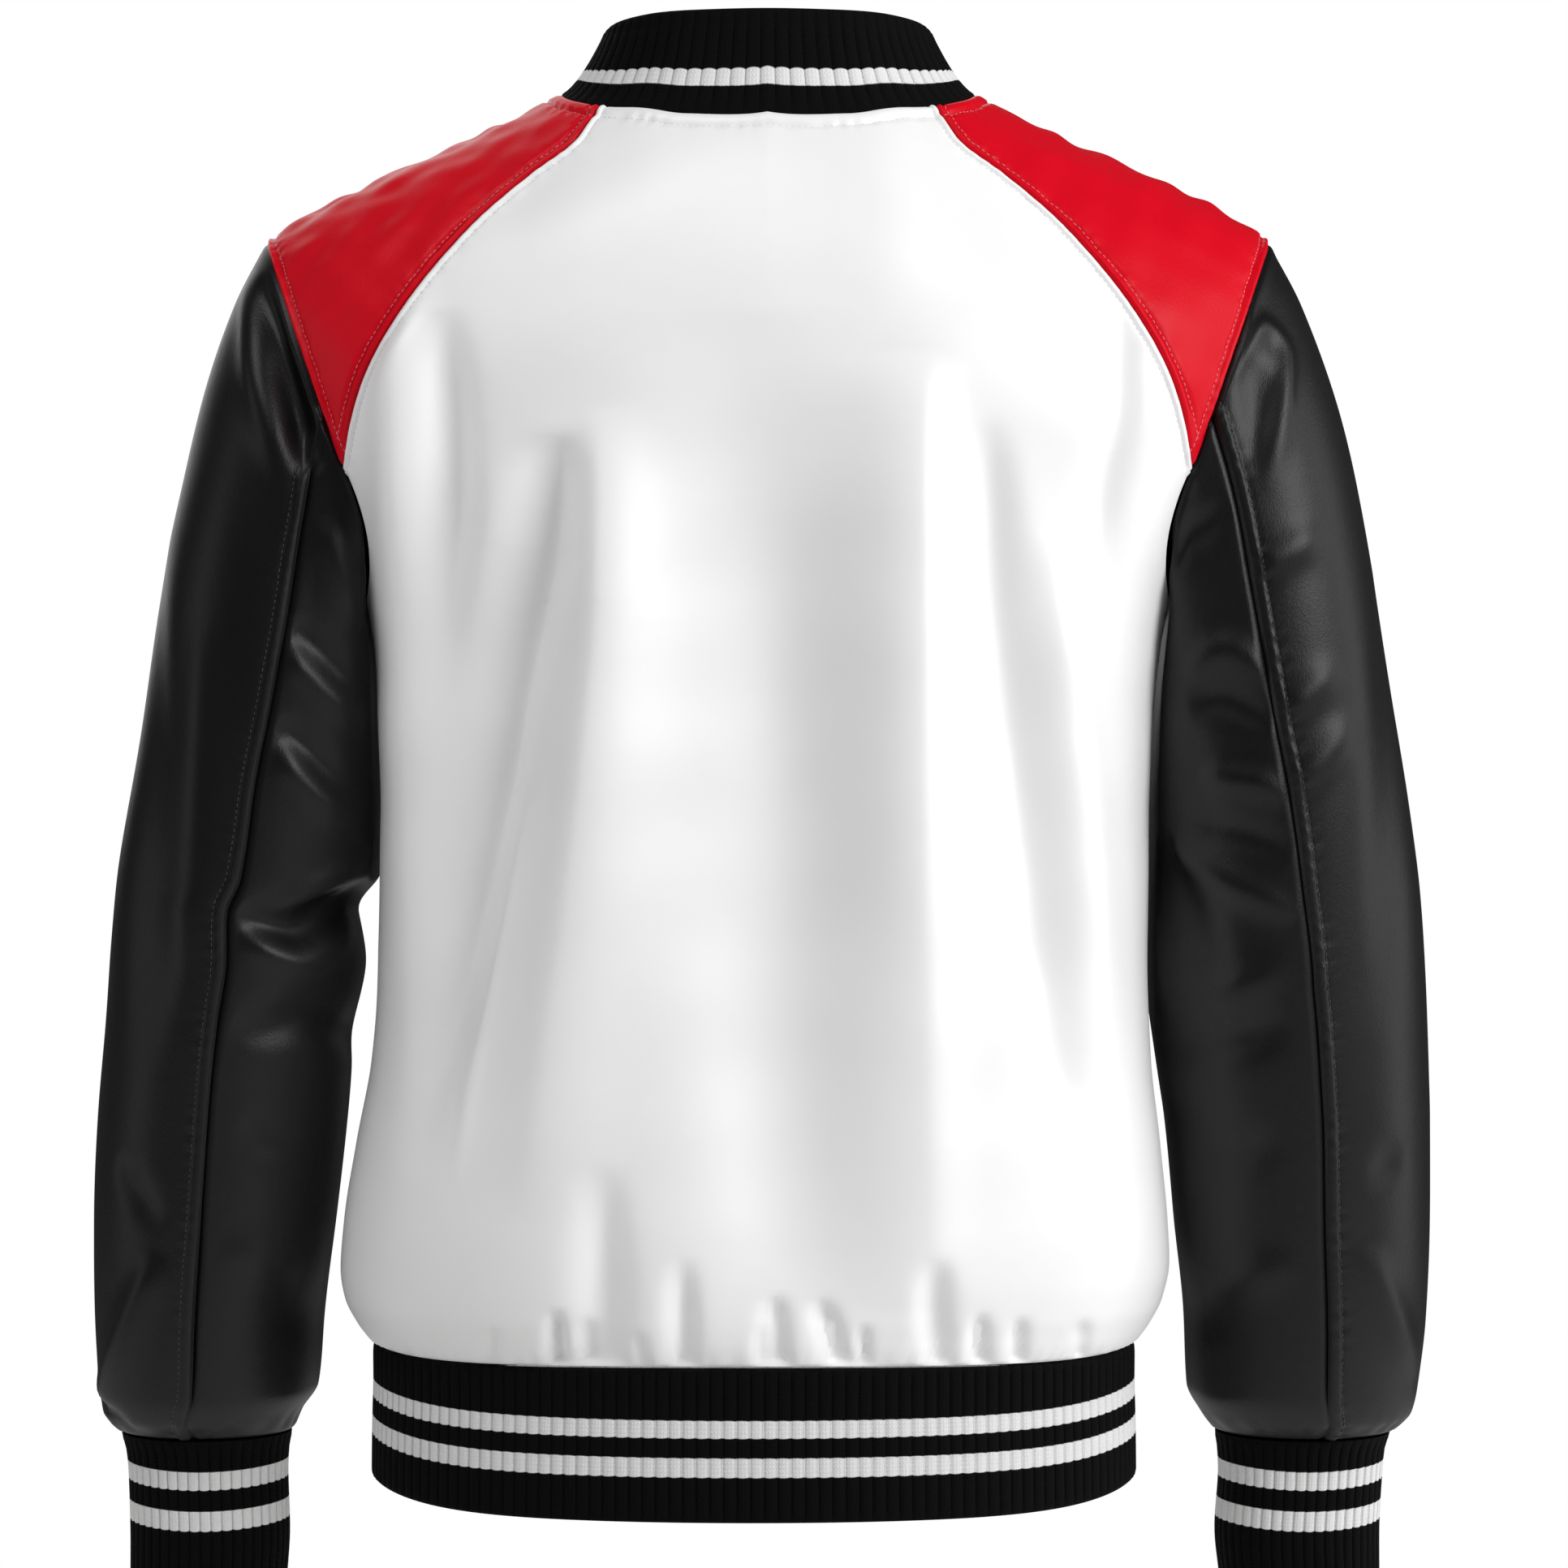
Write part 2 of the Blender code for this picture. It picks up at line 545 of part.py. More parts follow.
def sleeve(side, turn, along):
    """Points of a sleeve without its folds, from the armhole (along 0) to the cuff seam (1)."""
    turn = np.asarray(turn, float)
    wrapped = (turn + 180) % 360 - 180
    start = armhole(side, wrapped)
    start_drop = -start[..., 2]
    drop = start_drop + along * (CUFF_SEAM - start_drop)
    left_over = np.clip(1 - along / RESIDUE, 0, 1) ** 2
    points = tube(side, turn, drop) + (start - tube(side, turn, start_drop)) * left_over[..., None]
    return clear_of_body(side, points)


def sleeve_turns(side, part, along):
    """The turns of a sleeve piece's columns in a row: they start at its seams at the armhole, and follow
    the seams as these wander down the sleeve."""
    drop = SEAMS["drop"][0] + along * (CUFF_SEAM - SEAMS["drop"][0])
    back_seam = read(SEAMS, "left_back" if side > 0 else "right_back", drop)
    front_seam = read(SEAMS, "front", drop)
    if part == "top":
        start = TOP_TURNS
        return np.where(start > 0, start * back_seam / SLEEVE_SEAM, start * front_seam / SLEEVE_SEAM)
    down = RAGLAN_TURN + (180 - RAGLAN_TURN) * UNDERARM_STATIONS[::-1]
    start = np.concatenate([[SLEEVE_SEAM], down, 360 - down[-2::-1], [360 - SLEEVE_SEAM]])
    behind = 180 - (180 - start) * (180 - back_seam) / (180 - SLEEVE_SEAM)
    before = 180 + (start - 180) * (180 - front_seam) / (180 - SLEEVE_SEAM)
    return np.where(start < 180, behind, before)


# ------------------------------------------------------------------------------------------------ the folds

def fold_height(folds, across, down):
    """Height of the folds at places given in two coordinates of a surface, both in metres."""
    height = np.zeros(np.shape(across))
    for line, width, depth in folds:
        nearest = np.full(np.shape(across), 1e9)
        for (a0, b0), (a1, b1) in zip(line[:-1], line[1:]):
            length = (a1 - a0) ** 2 + (b1 - b0) ** 2
            t = np.clip(((across - a0) * (a1 - a0) + (down - b0) * (b1 - b0)) / length, 0, 1)
            nearest = np.minimum(nearest, np.hypot(across - a0 - t * (a1 - a0), down - b0 - t * (b1 - b0)))
        height += depth * np.exp(-(nearest / width) ** 2)
    return height


# ------------------------------------------------------------------------------------------- walls of cloth

def material(name, colour, roughness, metallic=0.0):
    found = bpy.data.materials.get(name)
    if found:
        return found
    made = bpy.data.materials.new(name)
    made.use_nodes = True
    shader = made.node_tree.nodes["Principled BSDF"]
    shader.inputs["Base Color"].default_value = colour
    shader.inputs["Roughness"].default_value = roughness
    shader.inputs["Metallic"].default_value = metallic
    return made


def zip_runs(bm, near, far):
    """Faces between two runs of vertices that may differ in number."""
    n = f = 0
    while n < len(near) - 1 or f < len(far) - 1:
        next_near = (n + 1) / (len(near) - 1)
        next_far = (f + 1) / (len(far) - 1)
        if abs(next_near - next_far) < 1e-9:
            bm.faces.new((near[n], near[n + 1], far[f + 1], far[f]))
            n += 1
            f += 1
        elif next_near < next_far:
            bm.faces.new((near[n], near[n + 1], far[f]))
            n += 1
        else:
            bm.faces.new((near[n], far[f + 1], far[f]))
            f += 1


def grid_faces(bm, points, closed):
    """A sheet of triangles over rows and columns of points, and its vertices, with the first column
    repeated at the end of a closed ring. Each four points are parted along their shorter diagonal."""
    rows = [[bm.verts.new(p) for p in row] for row in points]
    if closed:
        rows = [row + row[:1] for row in rows]
    for low, high in zip(rows[:-1], rows[1:]):
        for a, b, c, d in zip(low[:-1], low[1:], high[1:], high[:-1]):
            if (a.co - c.co).length < (b.co - d.co).length:
                bm.faces.new((a, b, c))
                bm.faces.new((a, c, d))
            else:
                bm.faces.new((a, b, d))
                bm.faces.new((b, c, d))
    return rows


def wall(name, outer, inner, finish, closed=False):
    """One closed piece between an outer and an inner grid of points, which may be divided differently."""
    bm = bmesh.new()
    outside = grid_faces(bm, outer, closed)
    inside = grid_faces(bm, inner, closed)
    zip_runs(bm, outside[0], inside[0])
    zip_runs(bm, outside[-1], inside[-1])
    if not closed:
        zip_runs(bm, [row[0] for row in outside], [row[0] for row in inside])
        zip_runs(bm, [row[-1] for row in outside], [row[-1] for row in inside])
    bmesh.ops.recalc_face_normals(bm, faces=bm.faces)
    mesh = bpy.data.meshes.new(name)
    bm.to_mesh(mesh)
    bm.free()
    mesh.shade_smooth()
    mesh.set_sharp_from_angle(angle=np.radians(50))
    mesh.materials.append(finish)
    piece = bpy.data.objects.new(name, mesh)
    bpy.context.scene.collection.objects.link(piece)
    return piece


def draw_in(points, edges):
    """The same grid with the named edges drawn in by half a seam gap, so that sewn pieces stay apart."""
    points = points.copy()
    for edge in edges:
        here, beside = {
            "first_row": (np.s_[0], np.s_[1]),
            "last_row": (np.s_[-1], np.s_[-2]),
            "first_column": (np.s_[:, 0], np.s_[:, 1]),
            "last_column": (np.s_[:, -1], np.s_[:, -2]),
        }[edge]
        step = points[beside] - points[here]
        points[here] += step / np.linalg.norm(step, axis=-1, keepdims=True) * SEAM_GAP / 2
    return points


ALL_EDGES = ("first_row", "last_row", "first_column", "last_column")


def mitre(side, turn, own, other):
    """The direction in which a wall leaves the armhole seam: over the shoulder both walls share one, and
    under the arm each keeps its own."""
    shared = ease((RAGLAN_TURN - 7 - np.abs(turn)) / 35)[..., None]
    mixed = own + other * shared
    return mixed / np.linalg.norm(mixed, axis=-1, keepdims=True)


# ---------------------------------------------------------------------------------------- the body's pieces

def edge_of_body(behind):
    """The edge from the hem up the side seam, the lower armhole and the raglan seam to the neck."""
    side_around = np.ones(len(SIDE_DROPS))
    hole_around, hole_drop = underarm(behind, UNDERARM_STATIONS)
    out, over = raglan(behind, RAGLAN_STATIONS)
    seam_drop = yoke_drop(out, over)
    seam_around = around_of(out, seam_drop, over)
    around = np.concatenate([side_around, hole_around[1:], seam_around[1:]])
    drop = np.concatenate([SIDE_DROPS, hole_drop[1:], seam_drop[1:]])
    return around, drop


def softened(edge):
    """An edge of (around, drop) places with its quick turns spread out over the rows."""
    apart = edge[1][:, None] - edge[1][None, :]
    weight = np.exp(-(apart / SOFTENING) ** 2) * np.gradient(-edge[1])[None, :]
    return np.stack([(weight @ edge[0]) / weight.sum(axis=1), edge[1]])


def between(first, last, low, high, share):
    """A grid of (around, drop) places filled in smoothly between its four edges: the columns run from the
    first edge to the last at their shares of the way, the rows from the low edge to the high one. Columns
    away from the side edges follow these only softly."""
    share = share[None, None, :]
    climb = ((first[1][0] - first[1]) / (first[1][0] - first[1][-1]))[None, :, None]
    soft_first = softened(first)[:, :, None]
    soft_last = softened(last)[:, :, None]
    sides = soft_first * (1 - share) + soft_last * share
    sides += (first[:, :, None] - soft_first) * (1 - share) ** 4 + (last[:, :, None] - soft_last) * share ** 4
    ends = low[:, None, :] * (1 - climb) + high[:, None, :] * climb
    return sides + ends - sides[:, :1] * (1 - climb) - sides[:, -1:] * climb


def body_panel(name, places, folds, step=0.0):
    """A panel of the body from its grid of places, with its folds and, on the upper front, its step
    forward."""
    around, drop = places
    points = body(around, drop)
    normal = facing(body, around, drop, BODY_MIDDLE)
    inside = np.zeros(around.shape)
    inside[1:-1, 1:-1] = 1
    height = fold_height(folds, points[..., 0], drop) * inside * (1 - step)
    points = points + normal * height[..., None]
    points[..., 1] -= (CLOTH + 2 * SEAM_GAP) * step
    outer = draw_in(points, ALL_EDGES)
    return wall(name, outer, outer - normal * CLOTH, material("white body cloth", WHITE, 0.5))


def back_panel():
    share = np.linspace(0, 1, BACK_COLUMNS + 1)
    left = np.stack(edge_of_body(behind=True))
    right = left * np.array([[-1], [1]])
    low = np.stack([2 * share - 1, np.full(len(share), HEM_SEAM)])
    turn = NECK_RAGLAN * (2 * share - 1)
    out, over = neck(np.abs(turn))
    drop = yoke_drop(out, over)
    high = np.stack([around_of(out * np.sign(turn), drop, over), drop])
    return body_panel("back_panel", between(right, left, low, high, share), BACK_FOLDS)


def step_up(out_from_middle):
    """The share of its full step that the upper front has climbed onto the layer below it."""
    return ease((STEP_OUT - out_from_middle) / STEP_WIDTH)


def front_panel(side, name):
    outer_edge = np.stack(edge_of_body(behind=False))
    share = FRONT_SHARES
    out, over = neck(NECK_RAGLAN_FRONT + (NECK_FRONT_END - NECK_RAGLAN_FRONT) * share)
    drop = yoke_drop(out, over)
    high = np.stack([around_of(out, drop, over), drop])
    climb = (outer_edge[1][0] - outer_edge[1]) / (outer_edge[1][0] - outer_edge[1][-1])
    front_drop = HEM_SEAM + climb * (high[1][-1] - HEM_SEAM)
    front_around = 2 + np.arcsin(OVERLAP / read(BODY, "half", front_drop)) / (np.pi / 2)
    low = np.stack([1 + (front_around[0] - 1) * share, np.full(len(share), HEM_SEAM)])
    high[0] += share ** 4 * (front_around[-1] - high[0][-1])
    places = between(outer_edge, np.stack([front_around, front_drop]), low, high, share)
    places[0] *= side
    if side < 0:
        return body_panel(name, places, FRONT_FOLDS)
    out = body(*places)[..., 0] - read(BODY, "lean", places[1])
    return body_panel(name, places, FRONT_FOLDS, step=step_up(out))


def shoulder_panel(side, name):
    """The shoulder's leather, from the neck to the armhole and from one raglan seam over the ridge to the
    other."""
    turns = np.concatenate([[-RAGLAN_TURN], TOP_TURNS, [RAGLAN_TURN]])
    rows = len(turns)
    columns = len(RAGLAN_STATIONS)
    along = RAGLAN_STATIONS[::-1]
    climb = ((turns - turns[0]) / (turns[-1] - turns[0]))[:, None]
    share = np.linspace(0, 1, columns)[None, :]
    front = np.stack(raglan(False, along))[:, None, :]
    back = np.stack(raglan(True, along))[:, None, :]
    neck_turns = NECK_RAGLAN_FRONT + (NECK_RAGLAN - NECK_RAGLAN_FRONT) * climb[:, 0]
    inner = np.stack(neck(neck_turns))[:, :, None]
    tip = np.stack([read(ARMHOLE, "out", turns), read(ARMHOLE, "over", turns)])[:, :, None]
    ends = front * (1 - climb) + back * climb
    sides = inner * (1 - share) + tip * share
    out, over = sides + ends - sides[:, :1] * (1 - climb) - sides[:, -1:] * climb
    mirrored = np.array([side, 1, 1])
    points = yoke(out, over) * mirrored
    normal = facing(yoke, out, over, BODY_MIDDLE) * mirrored
    inward = normal.copy()
    inward[:, -1] = mitre(side, turns, normal[:, -1], sleeve_facing(side, turns, np.zeros(rows)))
    outer = draw_in(points, ALL_EDGES)
    return wall(name, outer, outer - inward * LEATHER, material("red leather", RED, 0.35))


# -------------------------------------------------------------------------------------- the sleeves' pieces

def sleeve_facing(side, turn, along):
    points = sleeve(side, turn, along)
    centre, _ = sleeve_axis(side, -points[..., 2])
    middle = stack(side * centre, 0.0, points[..., 2])
    return facing(lambda a, b: sleeve(side, a, np.maximum(b, 0)), turn, along, middle)


def sleeve_panel(side, part, name):
    turns = np.stack([sleeve_turns(side, part, row) for row in SLEEVE_ROWS])
    along = SLEEVE_ROWS[:, None] * np.ones(turns.shape)
    points = sleeve(side, turns, along)
    normal = sleeve_facing(side, turns, along)
    keep = ease(along / FADE_TOP) * ease((1 - along) / FADE_CUFF)
    unwrapped = (turns + 90) % 360 - 90
    folds = [([(METRES_PER_DEGREE * turn, drop) for turn, drop in line], width, depth)
             for line, width, depth in SLEEVE_FOLDS[side]]
    height = fold_height(folds, METRES_PER_DEGREE * unwrapped, -points[..., 2]) * keep
    outer = clear_of_body(side, points + normal * height[..., None])
    inward = normal.copy()
    wrapped = (turns[0] + 180) % 360 - 180
    own_yoke = yoke_facing_at_armhole(side, wrapped)
    inward[0] = mitre(side, wrapped, normal[0], own_yoke)
    outer[0] += own_yoke * SEAM_GAP * ease((np.abs(wrapped) - 60) / 60)[:, None]
    outer = draw_in(outer, ALL_EDGES)
    return wall(name, outer, outer - inward * LEATHER, material("black leather", BLACK_LEATHER, 0.4))


def yoke_facing_at_armhole(side, turn):
    """The body's outward direction at points of the armhole."""
    mirrored = np.array([side, 1, 1])
    upper = facing(yoke, read(ARMHOLE, "out", turn), read(ARMHOLE, "over", turn), BODY_MIDDLE)
    share = np.clip((np.abs(turn) - RAGLAN_TURN) / (180 - RAGLAN_TURN), 0, 1)
    around_back, drop_back = underarm(True, share)
    around_front, drop_front = underarm(False, share)
    around = np.where(turn > 0, around_back, around_front)
    lower = facing(body, around, np.where(turn > 0, drop_back, drop_front), BODY_MIDDLE)
    return np.where((np.abs(turn) <= RAGLAN_TURN)[:, None], upper, lower) * mirrored


# -------------------------------------------------------------------------------------------- the rib trims

def spaced(run, count):
    """A run of points divided again into equal lengths."""
    lengths = np.concatenate([[0], np.cumsum(np.linalg.norm(np.diff(run, axis=0), axis=1))])
    at = np.linspace(0, lengths[-1], count + 1)
    return np.stack([np.interp(at, lengths, run[:, axis]) for axis in range(3)], axis=-1)


def sideways(run, closed=False):
    """The level direction out of a run of points that goes round the wearer with the outside on its right."""
    if closed:
        ahead = np.roll(run, -1, axis=0) - np.roll(run, 1, axis=0)
    else:
        ahead = np.gradient(run, axis=0)
    out = stack(ahead[:, 1], -ahead[:, 0], 0 * ahead[:, 0])
    return out / np.linalg.norm(out, axis=-1, keepdims=True)


def ribbed(runs, pitch, depths, closed=False):
    """The outer points of a rib-knit band from its runs, lowest first: two to each rib, one on it and one
    beside."""
    length = np.linalg.norm(np.diff(runs[-1], axis=0), axis=1).sum()
    ribs = int(round(length / pitch))
    rows = []
    for run, depth in zip(runs, depths):
        even = spaced(run, 2 * ribs)
        if closed:
            even = even[:-1]
        out = sideways(even, closed)
        valley = np.arange(len(even)) % 2
        rows.append(even - out * (depth * valley)[:, None])
    return np.array(rows), ribs


def plain(runs, thickness, columns, closed=False):
    """The inner points of the same band, plain and more widely spaced."""
    rows = []
    for run in runs:
        even = spaced(run, columns)
        if closed:
            even = even[:-1]
        rows.append(even - sideways(even, closed) * thickness)
    return np.array(rows)


def hem_ring(drop, half, back, front):
    """One run round the hem band, from its upper end at the middle of the front, round by the wearer's
    left, to its lower end."""
    start = np.arcsin(OVERLAP / half) / (np.pi / 2)
    around = np.linspace(2 + start, -2 - start, RUN_POINTS)
    out = half * np.sin(np.pi / 2 * around)
    facing_back = np.cos(np.pi / 2 * around)
    deep = np.where(facing_back > 0, back, -front) * ring_share(out, half, read(BODY, "square", HEM_SEAM))
    down = (drop - HEM_SEAM) / (HEM_END - HEM_SEAM)
    behind = HEM_RISE + (HEM_END_RISE - HEM_RISE) * down
    beside = HEM_SIDE_RISE + (HEM_END_SIDE_RISE - HEM_SIDE_RISE) * down
    rise = hem_rise(out / half, facing_back, behind, beside)
    lean = read(BODY, "lean", HEM_SEAM)
    points = stack(out + lean, deep, rise - drop)
    points[:, 1] -= (around > 1) * step_up(out) * (RIB_KNIT + 5 * SEAM_GAP)
    return points


def hem_rib():
    runs = [hem_ring(*sizes) for sizes in zip(HEM["drop"], HEM["half"], HEM["back"], HEM["front"])]
    outer, ribs = ribbed(runs, RIB_PITCH, HEM["ribs"] * RIB_DEPTH)
    inner = plain([runs[0], runs[-1]], RIB_KNIT, ribs // 2)
    return wall("hem_rib", outer, inner, material("black rib knit", BLACK_RIB, 0.9))


def collar_run(height):
    """One run round the collar at a share of its height, from the wearer's left front round the back."""
    turns = np.linspace(179.0, -179.0, RUN_POINTS)
    about = np.abs(turns)
    low = yoke(*neck(about))
    high = stack(*[read(COLLAR_TOP, column, about) for column in ("out", "deep", "rise")])
    level = height ** COLLAR_FLARE
    share = np.array([level, level, height])
    points = low * (1 - share) + high * share
    points[:, 0] *= np.where(turns < 0, -1, 1)
    # The front corners of the collar are cut round.
    near_front = ease((about - 160) / 19)
    points[:, 2] -= COLLAR_CORNER * near_front ** 3 * height ** 2
    return points


def collar_rib():
    runs = [collar_run(height) for height in COLLAR["height"]]
    runs[0] = runs[0] - sideways(runs[0]) * 3 * SEAM_GAP + np.array((0, 0, 2 * SEAM_GAP))
    rim = runs[-1]
    runs[-1] = rim - sideways(rim) * RIB_KNIT / 3
    outer, ribs = ribbed(runs, RIB_PITCH, COLLAR["ribs"] * RIB_DEPTH)
    inner = plain(runs[:3] + [rim], RIB_KNIT, ribs // 2)
    return wall("collar_rib", outer, inner, material("black rib knit", BLACK_RIB, 0.9))


def cuff_run(side, drop, swell):
    """One ring round a cuff."""
    rows = CUFF[side]
    centre = (read(rows, "outer", drop) + read(rows, "inner", drop)) / 2
    half = (read(rows, "outer", drop) - read(rows, "inner", drop)) / 2 + swell
    angle = np.linspace(0, 2 * np.pi, RUN_POINTS)
    forward = read(SLEEVE_SIDE, "forward", CUFF_SEAM) + CUFF_SLOPE * (drop - CUFF_SEAM)
    deep = (read(rows, "deep", drop) + swell) * np.sin(angle) - forward
    return stack(side * centre + half * np.cos(angle), deep, -drop)


def cuff_rib(side, name):
    runs = [cuff_run(side, drop, swell) for drop, swell in zip(CUFF_RINGS["drop"], CUFF_RINGS["swell"])]
    outer, ribs = ribbed(runs, CUFF_PITCH, CUFF_RINGS["ribs"] * RIB_DEPTH, closed=True)
    inner = plain([runs[0], runs[2], runs[-1]], RIB_KNIT, ribs // 2, closed=True)
    return wall(name, outer, inner, material("black rib knit", BLACK_RIB, 0.9), closed=True)


# ------------------------------------------------------------------------------------------------ the snaps

def snap(number, drop):
    """A press stud's cap, a low dome that stands on the cloth at the middle of the front."""
    name = "snap_%d" % number
    bm = bmesh.new()
    profile = [bm.verts.new((radius, 0, height)) for radius, height in zip(SNAP["radius"], SNAP["height"])]
    edges = [bm.edges.new(pair) for pair in zip(profile[:-1], profile[1:])]
    turned = {"axis": (0, 0, 1), "cent": (0, 0, 0), "steps": SNAP_SIDES, "angle": 2 * np.pi}
    bmesh.ops.spin(bm, geom=profile + edges, **turned)
    bmesh.ops.remove_doubles(bm, verts=bm.verts, dist=0.00001)
    bmesh.ops.recalc_face_normals(bm, faces=bm.faces)
    mesh = bpy.data.meshes.new(name)
    bm.to_mesh(mesh)
    bm.free()
    mesh.shade_smooth()
    mesh.set_sharp_from_angle(angle=np.radians(40))
    mesh.materials.append(material("black enamelled metal", BLACK_ENAMEL, 0.25, 0.6))
    cap = bpy.data.objects.new(name, mesh)
    bpy.context.scene.collection.objects.link(cap)
    if drop < HEM_SEAM:
        seat = body(np.array(2.0), np.array(drop))
        stand_off = CLOTH + 2 * SEAM_GAP
        slope = body(np.array(2.0), np.array(drop + 0.004)) - body(np.array(2.0), np.array(drop - 0.004))
    else:
        seat = stack(read(BODY, "lean", HEM_SEAM), -HEM["front"].max(), -drop)
        stand_off = RIB_KNIT + 5 * SEAM_GAP
        slope = np.array((0.0, 0.0, -1.0))
    slope = slope / np.linalg.norm(slope)
    forward = np.array((0.0, slope[2], -slope[1]))
    cap.location = seat + forward * (stand_off + SNAP_GAP)
    cap.rotation_euler = (np.pi / 2 + np.arctan2(-forward[2], -forward[1]), 0, 0)
    return cap


for old in list(bpy.data.objects):
    bpy.data.objects.remove(old, do_unlink=True)

back_panel()
collar_rib()
hem_rib()
for side, word in ((1, "left"), (-1, "right")):
    front_panel(side, "front_panel_" + word)
    shoulder_panel(side, "shoulder_panel_" + word)
    sleeve_panel(side, "top", "sleeve_top_" + word)
    sleeve_panel(side, "under", "sleeve_under_" + word)
    cuff_rib(side, "cuff_rib_" + word)
for number, drop in enumerate(SNAP_DROPS, 1):
    snap(number, drop)
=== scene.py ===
"""Looks of the varsity jacket: white satin-faced body, red leather shoulders, black leather sleeves and black
rib-knit trims, filled out as if it were worn.

Metres, +Z up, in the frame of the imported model: the front faces -Y, the wearer's left is +X, and the origin
is in the middle of the neck. "drop" is the distance below the origin, "out" the distance from the middle and
"over" the angle over the shoulder: 0 behind, 90 on the ridge.
"""

import bpy
import numpy as np
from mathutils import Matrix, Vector


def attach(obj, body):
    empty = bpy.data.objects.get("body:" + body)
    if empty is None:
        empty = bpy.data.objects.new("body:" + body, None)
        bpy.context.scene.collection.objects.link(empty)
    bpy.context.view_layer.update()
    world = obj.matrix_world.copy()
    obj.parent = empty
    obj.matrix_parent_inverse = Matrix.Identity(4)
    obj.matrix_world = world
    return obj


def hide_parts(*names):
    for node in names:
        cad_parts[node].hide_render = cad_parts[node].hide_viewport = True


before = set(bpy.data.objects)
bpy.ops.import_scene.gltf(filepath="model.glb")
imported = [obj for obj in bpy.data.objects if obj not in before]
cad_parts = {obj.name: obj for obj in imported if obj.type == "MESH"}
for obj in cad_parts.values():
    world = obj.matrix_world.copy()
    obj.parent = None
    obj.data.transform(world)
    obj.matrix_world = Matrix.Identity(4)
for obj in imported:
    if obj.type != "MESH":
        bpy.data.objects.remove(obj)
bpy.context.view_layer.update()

# ------------------------------------------------------------------------------------------------- the studio
# A level camera two metres behind the jacket, in a white studio. A large soft light stands beside the
# wearer's right arm, a weaker one on the other side, and the pale floor lies where the wearer would stand.
CAMERA_FROM = (-0.0078, 2.0, -0.335)
CAMERA_LENS = 93.17       # on a sensor 36 mm wide
FLOOR_DROP = 1.43
FLOOR_RADIUS = 3.4
FLOOR_SIDES = 96
STUDIO_LIGHTS = [              # name, place, aim, width, height, watts
    ("key light", (-2.3, 1.9, 0.85), (0.0, 0.1, -0.35), 1.8, 1.8, 73),
    ("top light", (0.9, 1.55, 2.05), (0.0, 0.1, -0.18), 1.6, 1.0, 26),
    ("side light", (2.6, 0.45, -0.2), (0.1, 0.0, -0.35), 0.9, 2.2, 5.5),
    ("wall light", (-2.7, -0.1, -0.1), (-0.1, 0.0, -0.35), 1.2, 2.4, 18),
    ("front light", (0.8, -2.4, 0.9), (0.0, 0.0, -0.35), 2.4, 2.4, 30),
]
AMBIENT = 0.15            # of the dark end of the studio behind the camera
AMBIENT_SIDES = 0.45      # of its white side walls
REFLECTED = 0.2           # share of the studio's own brightness that glossy pieces mirror


def in_scene(name, data):
    """A new object in the scene, at the origin."""
    piece = bpy.data.objects.new(name, data)
    bpy.context.scene.collection.objects.link(piece)
    return piece


camera = in_scene("camera", bpy.data.cameras.new("camera"))
camera.data.lens = CAMERA_LENS
camera.data.sensor_width = 36
camera.location = CAMERA_FROM
camera.rotation_euler = (np.pi / 2, 0, np.pi)
bpy.context.scene.camera = camera
bpy.context.scene.view_settings.view_transform = "Standard"

for name, place, aim, width, height, watts in STUDIO_LIGHTS:
    lamp = bpy.data.lights.new(name, "AREA")
    lamp.shape = "RECTANGLE"
    lamp.size = width
    lamp.size_y = height
    lamp.energy = watts
    stand = in_scene(name, lamp)
    stand.location = place
    stand.rotation_euler = (Vector(aim) - Vector(place)).to_track_quat("-Z", "Y").to_euler()


def fill(tree, node, inputs):
    """Gives a node's named inputs their values, or wires them to other nodes' sockets."""
    for name, value in inputs.items():
        if isinstance(value, bpy.types.NodeSocket):
            tree.links.new(value, node.inputs[name])
        else:
            node.inputs[name].default_value = value


def add_node(tree, kind, inputs=None, **settings):
    """A new node with its own settings and inputs."""
    node = tree.nodes.new(kind)
    for setting, value in settings.items():
        setattr(node, setting, value)
    fill(tree, node, inputs or {})
    return node


def add_math(tree, operation, *values):
    """The result of a sum with one, two or three values, which are sockets or numbers."""
    return add_node(tree, "ShaderNodeMath", dict(enumerate(values)), operation=operation).outputs[0]


def ranged(tree, value, low, high):
    """A value from 0 to 1 spread from low to high."""
    spread = add_node(tree, "ShaderNodeMapRange", {"Value": value, "To Min": low, "To Max": high})
    return spread.outputs["Result"]


studio = bpy.data.worlds.new("white studio")
studio.use_nodes = True
bpy.context.scene.world = studio
room = studio.node_tree
room.nodes.clear()
where = add_node(room, "ShaderNodeTexCoord").outputs["Generated"]
sideways_part = add_node(room, "ShaderNodeSeparateXYZ", {0: where}).outputs["X"]
walls = ranged(room, add_math(room, "POWER", sideways_part, 2.0), AMBIENT, AMBIENT_SIDES)
seen = add_node(room, "ShaderNodeLightPath").outputs
dimmed = add_math(room, "MULTIPLY", walls, ranged(room, seen["Is Glossy Ray"], 1.0, REFLECTED))
level = add_node(room, "ShaderNodeMix", {"Factor": seen["Is Camera Ray"], "A": dimmed, "B": 1.0})
glow = add_node(room, "ShaderNodeBackground", {"Color": (1, 1, 1, 1), "Strength": level.outputs["Result"]})
add_node(room, "ShaderNodeOutputWorld", {"Surface": glow.outputs["Background"]})

